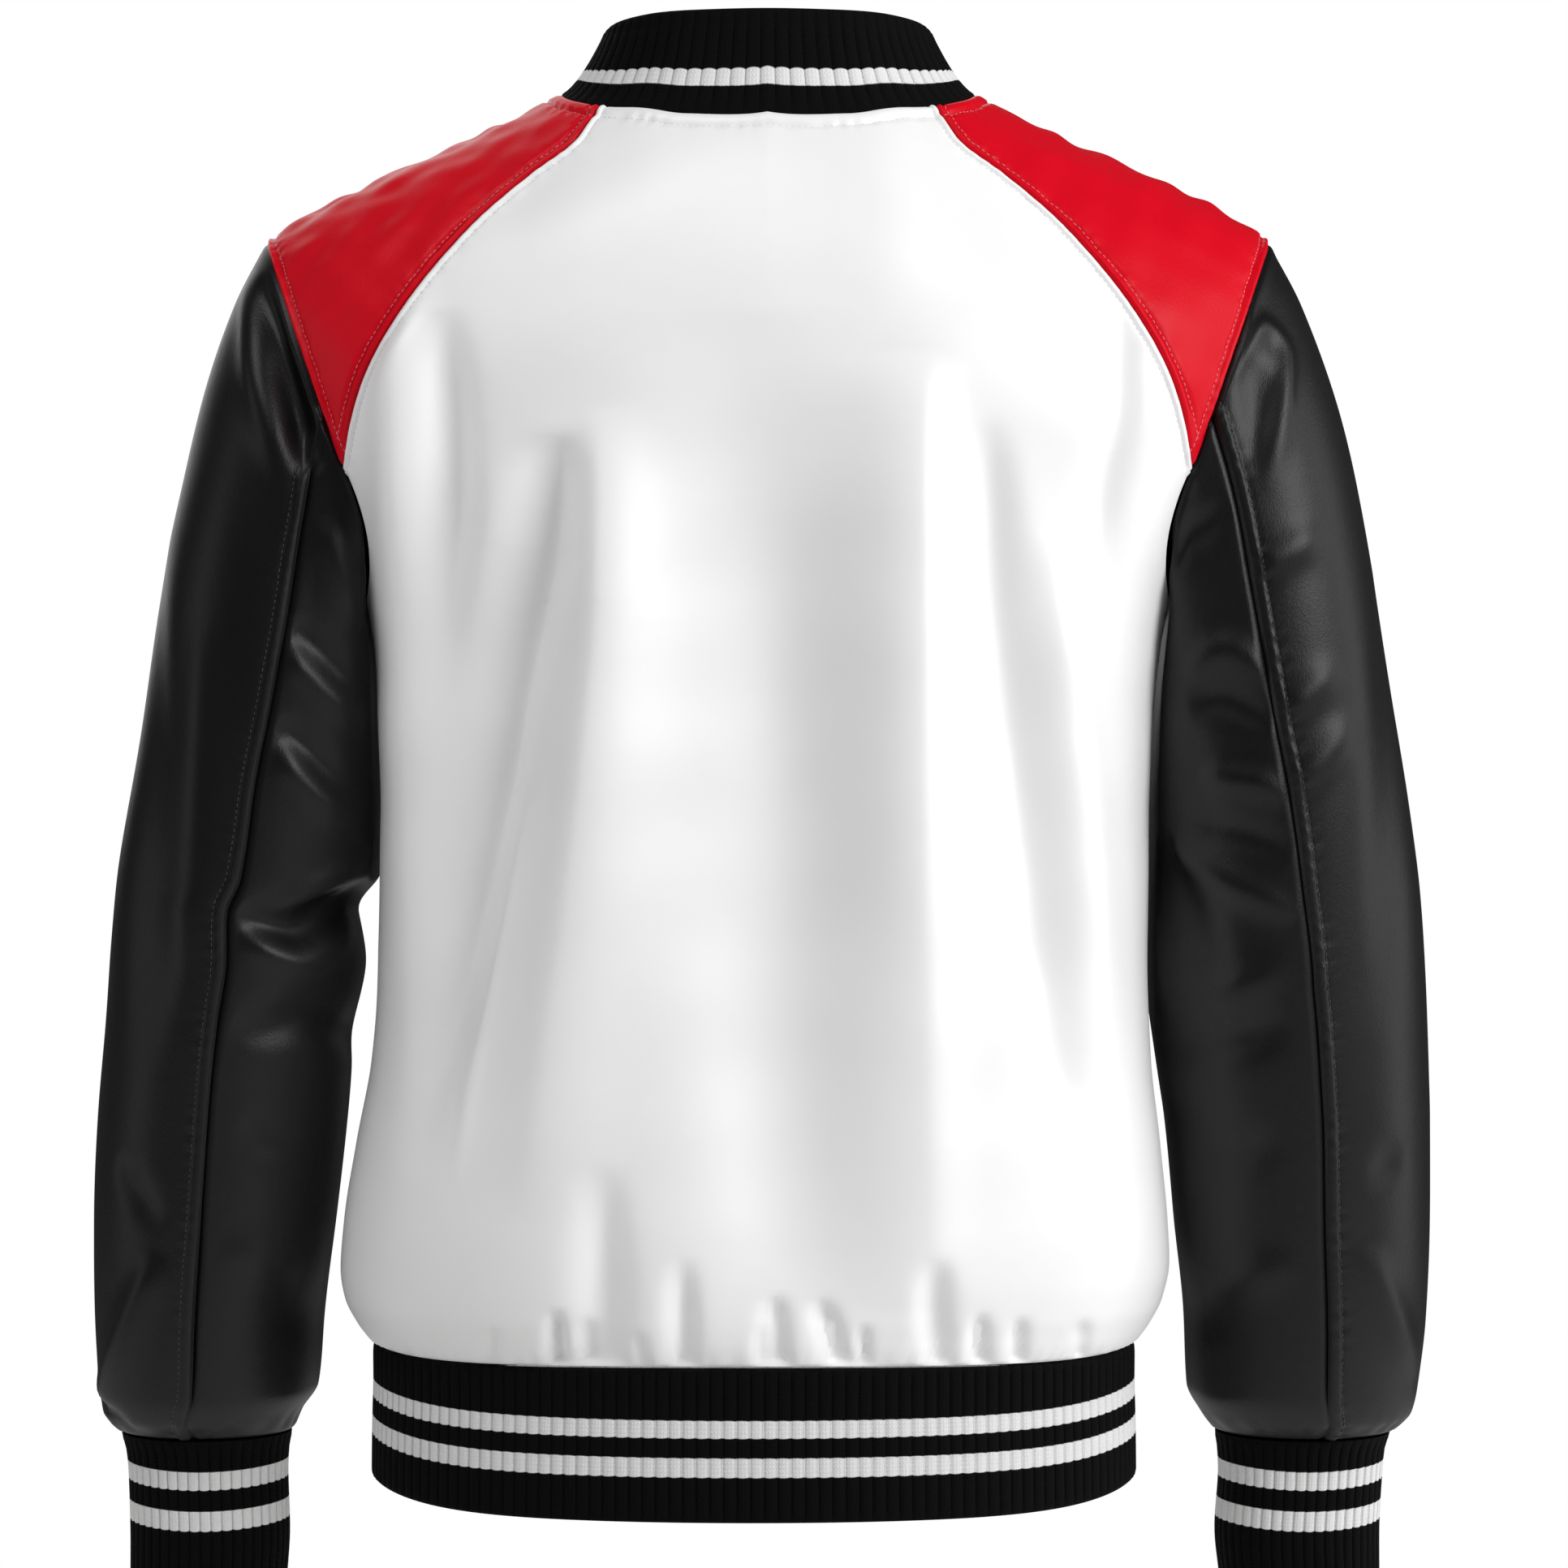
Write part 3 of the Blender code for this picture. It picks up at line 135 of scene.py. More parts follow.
turns = 2 * np.pi * np.arange(FLOOR_SIDES) / FLOOR_SIDES
rim = [(FLOOR_RADIUS * np.cos(turn), FLOOR_RADIUS * np.sin(turn), -FLOOR_DROP) for turn in turns]
floor_mesh = bpy.data.meshes.new("floor")
floor_mesh.from_pydata(rim, [], [range(FLOOR_SIDES)])
floor = in_scene("floor", floor_mesh)
floor_paint = bpy.data.materials.new("pale floor")
floor_paint.use_nodes = True
fill(floor_paint.node_tree, floor_paint.node_tree.nodes["Principled BSDF"],
     {"Base Color": (0.86, 0.86, 0.85, 1), "Roughness": 0.8})
floor_mesh.materials.append(floor_paint)


# --------------------------------------------------------------------------------------------- the back panel
# White satin-faced cloth over a thin foam, cut in one piece with a curved raglan seam on each side of the
# neck. It hangs in long soft folds from the shoulders and is gathered onto the narrower hem band. The seam
# allowances lie under the cloth beside its seams, where a row of stitches holds them down.
CLOTH = 0.0024
SEAM_GAP = 0.0004
ARCH = 0.16               # height over which the body rounds over the shoulder
UNDERARM = 0.246
UNDERARM_BEND = 2.2
HEM_SEAM = 0.613
HEM_RISE = 0.007
HEM_SIDE_RISE = 0.0045
SIDE_RISE_BEND = 7
HEM_RISE_START = 0.5
NECK_RAGLAN = 55.5
NECK_RAGLAN_FRONT = 134.0
BODY_MIDDLE = np.array((0.0, 0.0, -0.36))
SATIN_DEEP = (0.84, 0.84, 0.845, 1)
SATIN_WHITE = (0.9, 0.9, 0.9, 1)
THREAD_WHITE = (0.8, 0.8, 0.8, 1)
BODY_STITCHES_FROM_SEAM = 0.0042
NECK_STITCHES_FROM_SEAM = 0.0075
STITCH_PITCH = 0.003
STITCH_LENGTH = 0.0022
THREAD_RADIUS = 0.00028
SEAM_DIP = 0.0011         # how deep the cloth rolls in at a seam
SEAM_ROLL = 0.0014        # and how far from the seam


def table(names, rows):
    """A table of sizes, as one array for each named column."""
    return dict(zip(names.split(), np.array(rows, float).T))


def read(rows, column, at):
    """A column's value at places between the rows, on a smooth curve that never swings past the rows' own
    values. The first column says where the rows are."""
    places = rows[next(iter(rows))]
    values = rows[column]
    rates = np.diff(values) / np.diff(places)
    turning = rates[:-1] * rates[1:] <= 0
    total = np.where(turning, 1, rates[:-1] + rates[1:])
    slopes = np.concatenate([rates[:1], np.where(turning, 0, 2 * rates[:-1] * rates[1:] / total), rates[-1:]])
    at = np.clip(at, places[0], places[-1])
    row = np.clip(np.searchsorted(places, at) - 1, 0, len(places) - 2)
    step = places[row + 1] - places[row]
    t = (at - places[row]) / step
    start = (1 + 2 * t) * (1 - t) ** 2 * values[row] + t * (1 - t) ** 2 * step * slopes[row]
    end = t * t * (3 - 2 * t) * values[row + 1] + t * t * (t - 1) * step * slopes[row + 1]
    return start + end


BODY = table("drop half back front lean square", [
    (-0.04, 0.3, 0.112, 0.106, 0.0, 2.5),
    (0.02, 0.297, 0.115, 0.109, 0.0, 2.5),
    (0.06, 0.286, 0.119, 0.112, 0.0, 2.5),
    (0.1, 0.269, 0.1215, 0.115, 0.0, 2.5),
    (0.14, 0.248, 0.1235, 0.1175, 0.0, 2.5),
    (0.17, 0.2315, 0.1245, 0.1185, 0.0, 2.5),
    (0.2, 0.216, 0.125, 0.1195, 0.0, 2.5),
    (0.225, 0.2048, 0.1252, 0.12, 0.0, 2.5),
    (0.246, 0.1972, 0.1252, 0.12, 0.0, 2.5),
    (0.27, 0.1922, 0.1252, 0.1205, 0.0003, 2.5),
    (0.3, 0.19, 0.125, 0.121, 0.001, 2.5),
    (0.35, 0.1882, 0.124, 0.121, 0.0014, 2.5),
    (0.42, 0.1885, 0.123, 0.121, 0.0025, 2.5),
    (0.47, 0.191, 0.124, 0.122, 0.0034, 2.5),
    (0.51, 0.197, 0.126, 0.124, 0.0048, 2.45),
    (0.55, 0.202, 0.129, 0.127, 0.006, 2.32),
    (0.574, 0.2035, 0.13, 0.128, 0.0065, 2.18),
    (0.59, 0.201, 0.1285, 0.1265, 0.007, 2.08),
    (0.603, 0.195, 0.1245, 0.1225, 0.007, 2.0),
    (0.613, 0.187, 0.1185, 0.117, 0.007, 2.0),
])
RIDGE = table("out rise", [
    (0.0, 0.038), (0.05, 0.029), (0.08, 0.0155), (0.1035, 0.003), (0.12, -0.006),
    (0.1506, -0.0205), (0.1826, -0.034), (0.2146, -0.049), (0.2306, -0.058), (0.2466, -0.0688),
    (0.28, -0.095),
])
NECK = table("turn out over", [
    (-25, -0.0385, 43.8), (0, 0.0, 40.8), (25, 0.0385, 43.8), (45, 0.0657, 51.0), (60, 0.085, 59.5),
    (75, 0.0985, 72.0), (90, 0.1035, 90.0), (105, 0.0995, 109.0), (120, 0.0895, 124.0),
    (135, 0.0765, 137.0), (155, 0.047, 155.0), (180, 0.0, 166.0), (205, -0.047, 155.0),
])
RAGLAN_BACK = [
    (0.16, 0.0935, 48.4), (0.32, 0.112, 46.4), (0.46, 0.1323, 42.8), (0.6, 0.1525, 36.9),
    (0.74, 0.1722, 29.4), (0.87, 0.1895, 20.6), (0.94, 0.1975, 13.6), (1.0, 0.2025, 6.6),
]
RAGLAN_FRONT = [
    (0.16, 0.091, 138.4), (0.32, 0.109, 140.6), (0.46, 0.129, 144.0), (0.6, 0.149, 149.0),
    (0.74, 0.168, 155.0), (0.88, 0.1855, 162.5), (1.0, 0.197, 174.5),
]

# Each fold is how much wider its +X side is than its other side, and the rows of its line in millimetres:
# place, drop, width, and height above (or below) the cloth.
BACK_FOLDS = [
    (1, [(4, 115, 40, 0), (2, 175, 45, -8.8), (0, 240, 47, -15.2), (-4, 330, 48, -17.6),
         (-10, 420, 48, -16.8), (-14, 500, 46, -13.6), (-16, 570, 44, -8), (-16, 613, 44, 0)]),
    (0.9, [(174, 95, 12, 0), (174, 150, 14, 8), (173, 220, 14, 11), (172, 300, 14, 11), (172, 370, 14, 8.6),
           (172, 440, 14, 4.2), (174, 500, 14, 0)]),
    (1.1, [(152.3, 112, 8, 0), (150, 150, 10, -7.4), (149, 197, 11, -9.6), (153.2, 240, 12, -7.4),
           (157, 285, 12, -2.9), (158, 320, 12, 0)]),
    (1.8, [(97.5, 172, 7, 0), (98.5, 186, 9, -8), (101, 216, 10, -15), (110, 253, 12, -19),
           (120, 291, 13, -19.5), (126.5, 329, 13, -19), (135.5, 367, 14, -16.5), (143, 405, 14, -13),
           (152, 442, 14, -9), (161, 480, 13, -5), (169, 520, 12, 0)]),
    (0.55, [(77.4, 160, 18, 0), (75.9, 200, 22, 7.8), (75.9, 253, 25, 12.5), (78.5, 291, 27, 13.2),
            (82.2, 329, 29, 13), (86.9, 367, 30, 11.8), (91.9, 405, 31, 10), (97.5, 442, 31, 7.8),
            (104, 490, 30, 4.5), (110, 540, 26, 0)]),
    (1, [(109.8, 300, 4, 0), (119.2, 367, 4, 1.4), (128.7, 424, 4, 1.6), (140, 480, 4, 1.3),
         (148, 530, 4, 0)]),
    (2.1, [(-71.7, 135, 14, 0), (-70, 178, 15, 9.3), (-69, 216, 16, 13.8), (-69, 291, 17, 14.7),
           (-69, 367, 18, 13.8), (-70.5, 442, 20, 11.8), (-71.7, 499, 20, 9.3), (-73.6, 545, 18, 5.1),
           (-74, 585, 15, 0)]),
    (1, [(-101, 165, 8, 0), (-104.6, 205, 10, -7.4), (-108.4, 253, 12, -10.2), (-114, 291, 13, -11.2),
         (-119, 329, 13, -10.9), (-124, 367, 13, -9.9), (-128.4, 405, 13, -9), (-133, 442, 13, -7.4),
         (-141, 480, 12, -5.4), (-150, 530, 12, 0)]),
    (1, [(-134, 215, 10, 0), (-140.8, 280, 12, 6.7), (-148, 348, 13, 7.4), (-153.5, 405, 13, 6.4),
         (-160, 480, 13, 0)]),
    (1, [(-166.2, 108, 7, 0), (-167.3, 150, 8, -6.7), (-159.7, 200, 10, -7.7), (-153, 250, 10, 0)]),
    (1, [(76.9, 510, 9, 0), (76.9, 540, 11, -6.1), (76.5, 575, 12, -8.5), (76.5, 604, 11, -6.8),
         (76.5, 613, 11, -5.1)]),
    (1, [(39.1, 556, 5, 0), (39.5, 575, 6, -5.4), (39.1, 592, 6, -7.5), (38.9, 613, 6, -5.1)]),
    (0.8, [(99.2, 583, 4, 0), (99.2, 596, 4.5, -6.1), (98.5, 613, 5, -5.8)]),
    (1, [(86, 588, 3, 0), (85.5, 599, 4, -3.4), (85, 613, 4, -3.4)]),
    (1.2, [(-3, 576, 4, 0), (-4.5, 591, 5, -6.1), (-6, 613, 5, -6.5)]),
    (1.2, [(-23, 578, 4, 0), (-29, 593, 5, -6.5), (-34, 613, 5, -5.1)]),
    (1, [(-78.1, 556, 6, 0), (-78.1, 575, 7, -6.1), (-79, 594, 7, -6.5), (-80, 613, 6, -4.1)]),
    (0.9, [(-99.3, 585, 4, 0), (-99.3, 598, 4.5, -5.4), (-99.3, 613, 4.5, -4.8)]),
    (0.9, [(-118.2, 588, 4, 0), (-118.2, 599, 4, -4.4), (-118.2, 613, 4, -3.7)]),
    (1, [(3, 592, 3, 0), (3, 602, 3, -3.1), (3, 613, 3, -3.1)]),
    (1, [(-44.8, 591, 3, 0), (-44.8, 601, 3, -3.7), (-44.8, 613, 3, -3.4)]),
    (1, [(-148, 590, 4, 0), (-149, 600, 4, -3.4), (-149, 613, 4, -3.1)]),
    (1, [(128, 592, 3, 0), (128, 602, 3, -2.4), (128, 613, 3, -2.4)]),
    (1, [(60, 594, 3, 0), (59, 603, 3, -2.4), (58, 613, 3, -2.4)]),
]


def stack(x, y, z):
    """Points from their three coordinates, which may be arrays or numbers."""
    return np.stack(np.broadcast_arrays(x, y, z), axis=-1).astype(float)


def ease(t):
    """0 to 1, starting and ending softly."""
    t = np.clip(t, 0, 1)
    return t * t * (3 - 2 * t)


def ring_share(out, half, square):
    """How much of a ring's depth is left at a distance from the middle. A square of 2 makes an ellipse, and
    more makes it squarer."""
    return (1 - np.minimum(np.abs(out) / half, 1) ** square) ** (1 / square)


def hem_rise(aside, facing_back, behind, beside):
    """How far the hem's lines rise behind, and beside the body."""
    return behind * np.maximum(facing_back, 0) ** 2 + beside * np.abs(aside) ** SIDE_RISE_BEND


def body(around, drop):
    """Points of the body's surface. around counts quarter turns from the middle of the back: 1 is the
    wearer's left side seam, -1 the right one, and 2 or -2 the middle of the front."""
    half = read(BODY, "half", drop)
    out = half * np.sin(np.pi / 2 * around)
    facing_back = np.cos(np.pi / 2 * around)
    depth = np.where(facing_back > 0, read(BODY, "back", drop), -read(BODY, "front", drop))
    below = np.clip(drop + read(RIDGE, "rise", np.abs(out)), 0, ARCH)
    arch = np.sqrt(1 - (1 - below / ARCH) ** 2)
    lowered = ease((drop - HEM_RISE_START) / (HEM_SEAM - HEM_RISE_START))
    rise = hem_rise(out / half, facing_back, HEM_RISE, HEM_SIDE_RISE) * lowered
    deep = depth * ring_share(out, half, read(BODY, "square", drop)) * arch
    return stack(out + read(BODY, "lean", drop), deep, rise - drop)


def yoke_drop(out, over):
    """How far a place near the shoulder lies below the origin."""
    return ARCH * (1 - np.sin(np.radians(over))) - read(RIDGE, "rise", np.abs(out))


def yoke(out, over):
    """Points of the same surface near the shoulder, by the distance from the middle and the angle over the
    ridge."""
    drop = yoke_drop(out, over)
    turn_back = np.cos(np.radians(over))
    depth = np.where(turn_back > 0, read(BODY, "back", drop), read(BODY, "front", drop))
    deep = depth * ring_share(out, read(BODY, "half", drop), read(BODY, "square", drop)) * turn_back
    return stack(out + read(BODY, "lean", drop), deep, -drop)


def around_of(out, drop, over):
    """The quarter turns from the middle of the back of a point given by its place on the yoke."""
    quarter = np.arcsin(np.clip(out / read(BODY, "half", drop), -1, 1)) / (np.pi / 2)
    return np.where(over < 90, quarter, 2 - quarter)


def neck(turn):
    """The neck seam's place on the yoke: distance from the middle and angle over the ridge."""
    return read(NECK, "out", turn), read(NECK, "over", turn)


def raglan(behind, along):
    """A raglan seam's place on the yoke, from the neck (0) to the armhole (1)."""
    rows = RAGLAN_BACK if behind else RAGLAN_FRONT
    neck_out, neck_over = neck(NECK_RAGLAN if behind else NECK_RAGLAN_FRONT)
    seam = table("along out over", [(0.0, neck_out, neck_over)] + rows)
    return read(seam, "out", along), read(seam, "over", along)


def underarm(behind, share):
    """The armhole below a raglan seam (share 0) down to the underarm point (1), as quarter turns and drop."""
    out, over = raglan(behind, 1.0)
    start_drop = yoke_drop(out, over)
    start = np.arcsin(out / read(BODY, "half", start_drop)) / (np.pi / 2)
    quarter = start + (1 - start) * share ** UNDERARM_BEND
    drop = start_drop + (UNDERARM - start_drop) * np.sin(np.pi / 2 * share)
    return (quarter if behind else 2 - quarter), drop


def surface_normals(points, middle):
    """Outward normals of a grid of points, from their neighbours."""
    across = np.gradient(points, axis=1)
    along = np.gradient(points, axis=0)
    normal = np.cross(across, along)
    normal /= np.linalg.norm(normal, axis=-1, keepdims=True) + 1e-12
    inwards = np.sum(normal * (points - middle), axis=-1).mean() < 0
    return -normal if inwards else normal


def near_line(across, down, line):
    """How far places are from a line of points, on which side of it (+1 towards more across), and how far
    along it, in the line's own steps. Places and line are in the same two coordinates."""
    nearest = np.full(across.shape, 1e9)
    side = np.ones(across.shape)
    along = np.zeros(across.shape)
    for step, ((a0, b0), (a1, b1)) in enumerate(zip(line[:-1], line[1:])):
        length = (a1 - a0) ** 2 + (b1 - b0) ** 2
        t = np.clip(((across - a0) * (a1 - a0) + (down - b0) * (b1 - b0)) / length, 0, 1)
        away_a = across - a0 - t * (a1 - a0)
        away_b = down - b0 - t * (b1 - b0)
        away = np.hypot(away_a, away_b)
        closer = away < nearest
        nearest = np.where(closer, away, nearest)
        side = np.where(closer, np.sign(away_a), side)
        along = np.where(closer, step + t, along)
    return nearest, side, along


FOLD_STEPS = 18


def near(away, reach):
    """1 at a line, and softly less the further it is away."""
    return np.exp(-(away / reach) ** 2)


def fold_relief(folds, across, down, across_unit=0.001):
    """Height of the folds at places of a surface given in two coordinates, both in metres. The folds' rows
    are in millimetres, or hold their first place in another unit, given in metres."""
    height = np.zeros(across.shape)
    units = np.array((1, across_unit, 0.001, 0.001, 0.001))
    for skew, rows in folds:
        fold = table("step a b width height", [(step, *row) for step, row in enumerate(rows)] * units)
        steps = np.linspace(0, len(rows) - 1, FOLD_STEPS)
        line = np.stack([read(fold, "a", steps), read(fold, "b", steps)], axis=-1)
        away, side, along = near_line(across, down, line)
        along = along * (len(rows) - 1) / (FOLD_STEPS - 1)
        width = read(fold, "width", along) * np.where(side > 0, skew, 1)
        height += read(fold, "height", along) * near(away, width)
    return height


def drape_noise(across, down, size, height, seed):
    """A gentle unevenness of hanging cloth: a few slow waves that cross at odd angles."""
    chance = np.random.default_rng(seed)
    relief = np.zeros(across.shape)
    for _ in range(9):
        angle = chance.uniform(0, np.pi)
        wave = size * chance.uniform(0.6, 1.7)
        shift = chance.uniform(0, 2 * np.pi)
        relief += np.sin(2 * np.pi / wave * (across * np.cos(angle) + down * np.sin(angle)) + shift)
    return relief * height / 3


def from_run(points, run):
    """The distance of each point of a grid from a run of points, and how far along the run that is."""
    flat = points.reshape(-1, 3)
    nearest = np.full(len(flat), 1e9)
    along = np.zeros(len(flat))
    passed = 0.0
    for start, end in zip(run[:-1], run[1:]):
        step = end - start
        length = np.linalg.norm(step)
        t = np.clip((flat - start) @ step / length ** 2, 0, 1)
        away = np.linalg.norm(flat - start - t[:, None] * step, axis=1)
        closer = away < nearest
        nearest = np.where(closer, away, nearest)
        along = np.where(closer, passed + t * length, along)
        passed += length
    return nearest.reshape(points.shape[:2]), along.reshape(points.shape[:2])


PUFF_START = 0.0018       # how far from the seam a puffed allowance reaches its height
PUFF_END = 0.0016         # and how far before the stitches it falls again
PUCKER_REACH = 0.0035
LAPPED = {"puff": 0.001, "groove": 0.0007, "groove_width": 0.0007, "dip": 0.0003, "roll": 0.0007}
NECK_SEAM = {"puff": 0.0002, "groove": 0.0015, "groove_width": 0.0012, "dip": 0.0005, "roll": 0.0012}


def rolled_seam(away, dip=SEAM_DIP, roll=SEAM_ROLL):
    """The cloth's surface turning in at a seam."""
    return -dip * near(away, roll)


def uneven_wave(along, pitch, swing, slow, shift=0.0):
    """A wave along a seam whose pitch swings to and fro over a slow length, so that no two gathers or
    puckers are alike."""
    return np.sin(2 * np.pi * along / pitch + swing * np.sin(2 * np.pi * along / slow + shift))


def stitched_seam(away, along, stitches_at, puff=0.0005, pucker=0.00022, pucker_length=0.0095,
                  groove=0.0004, groove_width=0.0008, dip=SEAM_DIP, roll=SEAM_ROLL):
    """The same beside a row of stitches: the allowance puffs up next to the seam, the stitches lie in a
    groove, and the cloth puckers a little across them."""
    puffed = puff * ease(away / PUFF_START) * ease((stitches_at + 0.0002 - away) / PUFF_END)
    sunk = -groove * near(away - stitches_at + 0.7 * groove_width, groove_width)
    puckers = pucker * uneven_wave(along, pucker_length, 2.3, 0.047) * near(away - stitches_at, PUCKER_REACH)
    return rolled_seam(away, dip, roll) + puffed + sunk + puckers


def run_at(points, away, wanted):
    """The run of points at a wanted distance from a seam, one in each row, looked for from the first
    column on."""
    run = []
    for row, far in zip(points, away):
        past = int(np.argmax(far > wanted))
        if past:
            t = (wanted - far[past - 1]) / (far[past] - far[past - 1])
            run.append(row[past - 1] * (1 - t) + row[past] * t)
    return np.array(run)


def edge_shares(count, near):
    """Shares from 0 to 1, evenly spaced, with some more near both ends."""
    even = np.linspace(0, 1, count + 1)
    near = np.array(near)
    return np.unique(np.concatenate([even, near, 1 - near]).round(6))


def every(count, step):
    """Each step-th index of a run, and its last one."""
    return np.unique(np.append(np.arange(0, count, step), count - 1))


def loop_points(mesh):
    """The point that each corner of a mesh's faces stands on."""
    points = np.empty(len(mesh.loops), dtype=np.int32)
    mesh.loops.foreach_get("vertex_index", points)
    return points


def shell(name, outer, inner, finish, coarse=4, closed=False, flat=None, marks=None):
    """A closed wall of cloth between an outer and an inner grid of points. The inner side takes only each
    coarse-th row and column. Flat holds each outer point's place on the flat cloth, in metres, and marks
    any named values of the outer points."""
    rows, columns = outer.shape[:2]
    kept_rows = every(rows, coarse)
    kept_columns = np.arange(0, columns, coarse) if closed else every(columns, coarse)
    inside = inner[np.ix_(kept_rows, kept_columns)]
    inner_rows, inner_columns = inside.shape[:2]
    start = rows * columns

    def out(r, c):
        return int(r) * columns + int(c) % columns

    def ins(r, c):
        return start + int(r) * inner_columns + int(c) % inner_columns

    last = columns if closed else columns - 1
    inner_last = inner_columns if closed else inner_columns - 1
    r, c = np.mgrid[0:rows - 1, 0:last]
    beside = (c + 1) % columns
    faces = np.stack([r * columns + c, r * columns + beside, (r + 1) * columns + beside,
                      (r + 1) * columns + c], axis=-1).reshape(-1, 4).tolist()
    r, c = np.mgrid[0:inner_rows - 1, 0:inner_last]
    beside = (c + 1) % inner_columns
    faces += (start + np.stack([r * inner_columns + c, (r + 1) * inner_columns + c,
                                (r + 1) * inner_columns + beside, r * inner_columns + beside],
                               axis=-1)).reshape(-1, 4).tolist()
    column_stops = list(kept_columns) + ([columns] if closed else [])
    for j in range(inner_last):
        run = range(column_stops[j], column_stops[j + 1] + 1)
        faces.append([out(0, k) for k in reversed(run)] + [ins(0, j), ins(0, j + 1)])
        faces.append([out(rows - 1, k) for k in run] + [ins(inner_rows - 1, j + 1), ins(inner_rows - 1, j)])
    if not closed:
        for i in range(inner_rows - 1):
            run = range(kept_rows[i], kept_rows[i + 1] + 1)
            faces.append([out(k, 0) for k in run] + [ins(i + 1, 0), ins(i, 0)])
            faces.append([out(k, columns - 1) for k in reversed(run)]
                         + [ins(i, inner_columns - 1), ins(i + 1, inner_columns - 1)])
    across = outer[rows // 2, 1] - outer[rows // 2, 0]
    along = outer[rows // 2 + 1, 0] - outer[rows // 2, 0]
    if np.dot(np.cross(across, along), outer[rows // 2, 0] - inner[rows // 2, 0]) < 0:
        faces = [face[::-1] for face in faces]
    mesh = bpy.data.meshes.new(name)
    mesh.from_pydata(np.concatenate([outer.reshape(-1, 3), inside.reshape(-1, 3)]).tolist(), [], faces)
    if flat is not None:
        spread = np.concatenate([flat.reshape(-1, 2), flat[np.ix_(kept_rows, kept_columns)].reshape(-1, 2)])
        mesh.uv_layers.new(name="flat").data.foreach_set("uv", spread[loop_points(mesh)].ravel())
    for mark, values in (marks or {}).items():
        layer = mesh.attributes.new(mark, "FLOAT", "POINT")
        layer.data.foreach_set("value", np.concatenate([values.ravel(), np.zeros(inside[..., 0].size)]))
    mesh.shade_smooth()
    mesh.set_sharp_from_angle(angle=np.radians(55))
    mesh.materials.append(finish)
    return in_scene(name, mesh)


def flat_places(points):
    """Each grid point's place on the flat cloth: its distance along its row from the middle column, and
    that column's length up to the row."""
    steps = np.linalg.norm(np.diff(points, axis=1), axis=-1)
    across = np.concatenate([np.zeros((len(points), 1)), np.cumsum(steps, axis=1)], axis=1)
    middle = points.shape[1] // 2
    across -= across[:, middle:middle + 1]
    spine = np.linalg.norm(np.diff(points[:, middle], axis=0), axis=-1)
    down = np.concatenate([[0], np.cumsum(spine)])[:, None] + 0 * across
    return np.stack([across, down], axis=-1)


def draw_in(points):
    """The same grid with its edges drawn in by half a seam gap, so that sewn pieces stay apart."""
    points = points.copy()
    for here, beside in ((np.s_[0], np.s_[1]), (np.s_[-1], np.s_[-2]),
                         (np.s_[:, 0], np.s_[:, 1]), (np.s_[:, -1], np.s_[:, -2])):
        step = points[beside] - points[here]
        points[here] += step / np.linalg.norm(step, axis=-1, keepdims=True) * SEAM_GAP / 2
    return points


def node_group(name, inputs, outputs, kind="ShaderNodeTree"):
    """An empty group of nodes with named sockets, what it is given and what it makes."""
    group = bpy.data.node_groups.new(name, kind)
    for label, socket_kind, *values in inputs:
        socket = group.interface.new_socket(label, in_out="INPUT", socket_type="NodeSocket" + socket_kind)
        for value in values:
            socket.default_value = value
    for label, socket_kind in outputs:
        group.interface.new_socket(label, in_out="OUTPUT", socket_type="NodeSocket" + socket_kind)
    return group, group.nodes.new("NodeGroupInput").outputs, group.nodes.new("NodeGroupOutput")


def new_finish(name):
    """A new material and its nodes."""
    finish = bpy.data.materials.new(name)
    finish.use_nodes = True
    return finish, finish.node_tree


def set_shader(tree, inputs):
    """Gives a material's shader its values and wires."""
    fill(tree, tree.nodes["Principled BSDF"], inputs)


def flat_spot(tree, uv_map="flat"):
    """Where a point lies on the piece laid flat, in metres."""
    return add_node(tree, "ShaderNodeUVMap", uv_map=uv_map).outputs[0]


def noise(tree, spot, scale, detail, roughness=0.5):
    """Cloudy noise, as its value and its colour."""
    values = {"Vector": spot, "Scale": scale, "Detail": detail, "Roughness": roughness}
    return add_node(tree, "ShaderNodeTexNoise", values).outputs


def mixed(tree, first, second, factor):
    """A colour between two."""
    values = {"Factor": factor, "A": first, "B": second}
    return add_node(tree, "ShaderNodeMix", values, data_type="RGBA").outputs["Result"]


def bumped(tree, height, strength, distance=0.0004):
    """The normal of a surface with fine relief."""
    values = {"Height": height, "Strength": strength, "Distance": distance}
    return add_node(tree, "ShaderNodeBump", values).outputs["Normal"]


# The fine weave of cloth, in the piece's own flat coordinates: crossing threads with a little slub.
weave, given, made = node_group("weave", [
    ("Flat", "Vector"), ("Threads per Metre", "Float", 2200.0), ("Slub", "Float", 0.3),
], [("Height", "Float"), ("Tone", "Float")])
parted = add_node(weave, "ShaderNodeSeparateXYZ", {0: given["Flat"]}).outputs
turns_per_metre = add_math(weave, "MULTIPLY", given["Threads per Metre"], 2 * np.pi)
warp = add_math(weave, "SINE", add_math(weave, "MULTIPLY", parted["X"], turns_per_metre))
weft = add_math(weave, "SINE", add_math(weave, "MULTIPLY", parted["Y"], turns_per_metre))
crossing = add_math(weave, "MULTIPLY", add_math(weave, "MULTIPLY", warp, weft), 0.25)
slubs = noise(weave, given["Flat"], 420, 3)[0]
fill(weave, made, {"Height": add_math(weave, "MULTIPLY_ADD", slubs, given["Slub"], crossing),
                   "Tone": noise(weave, given["Flat"], 14, 4)[0]})

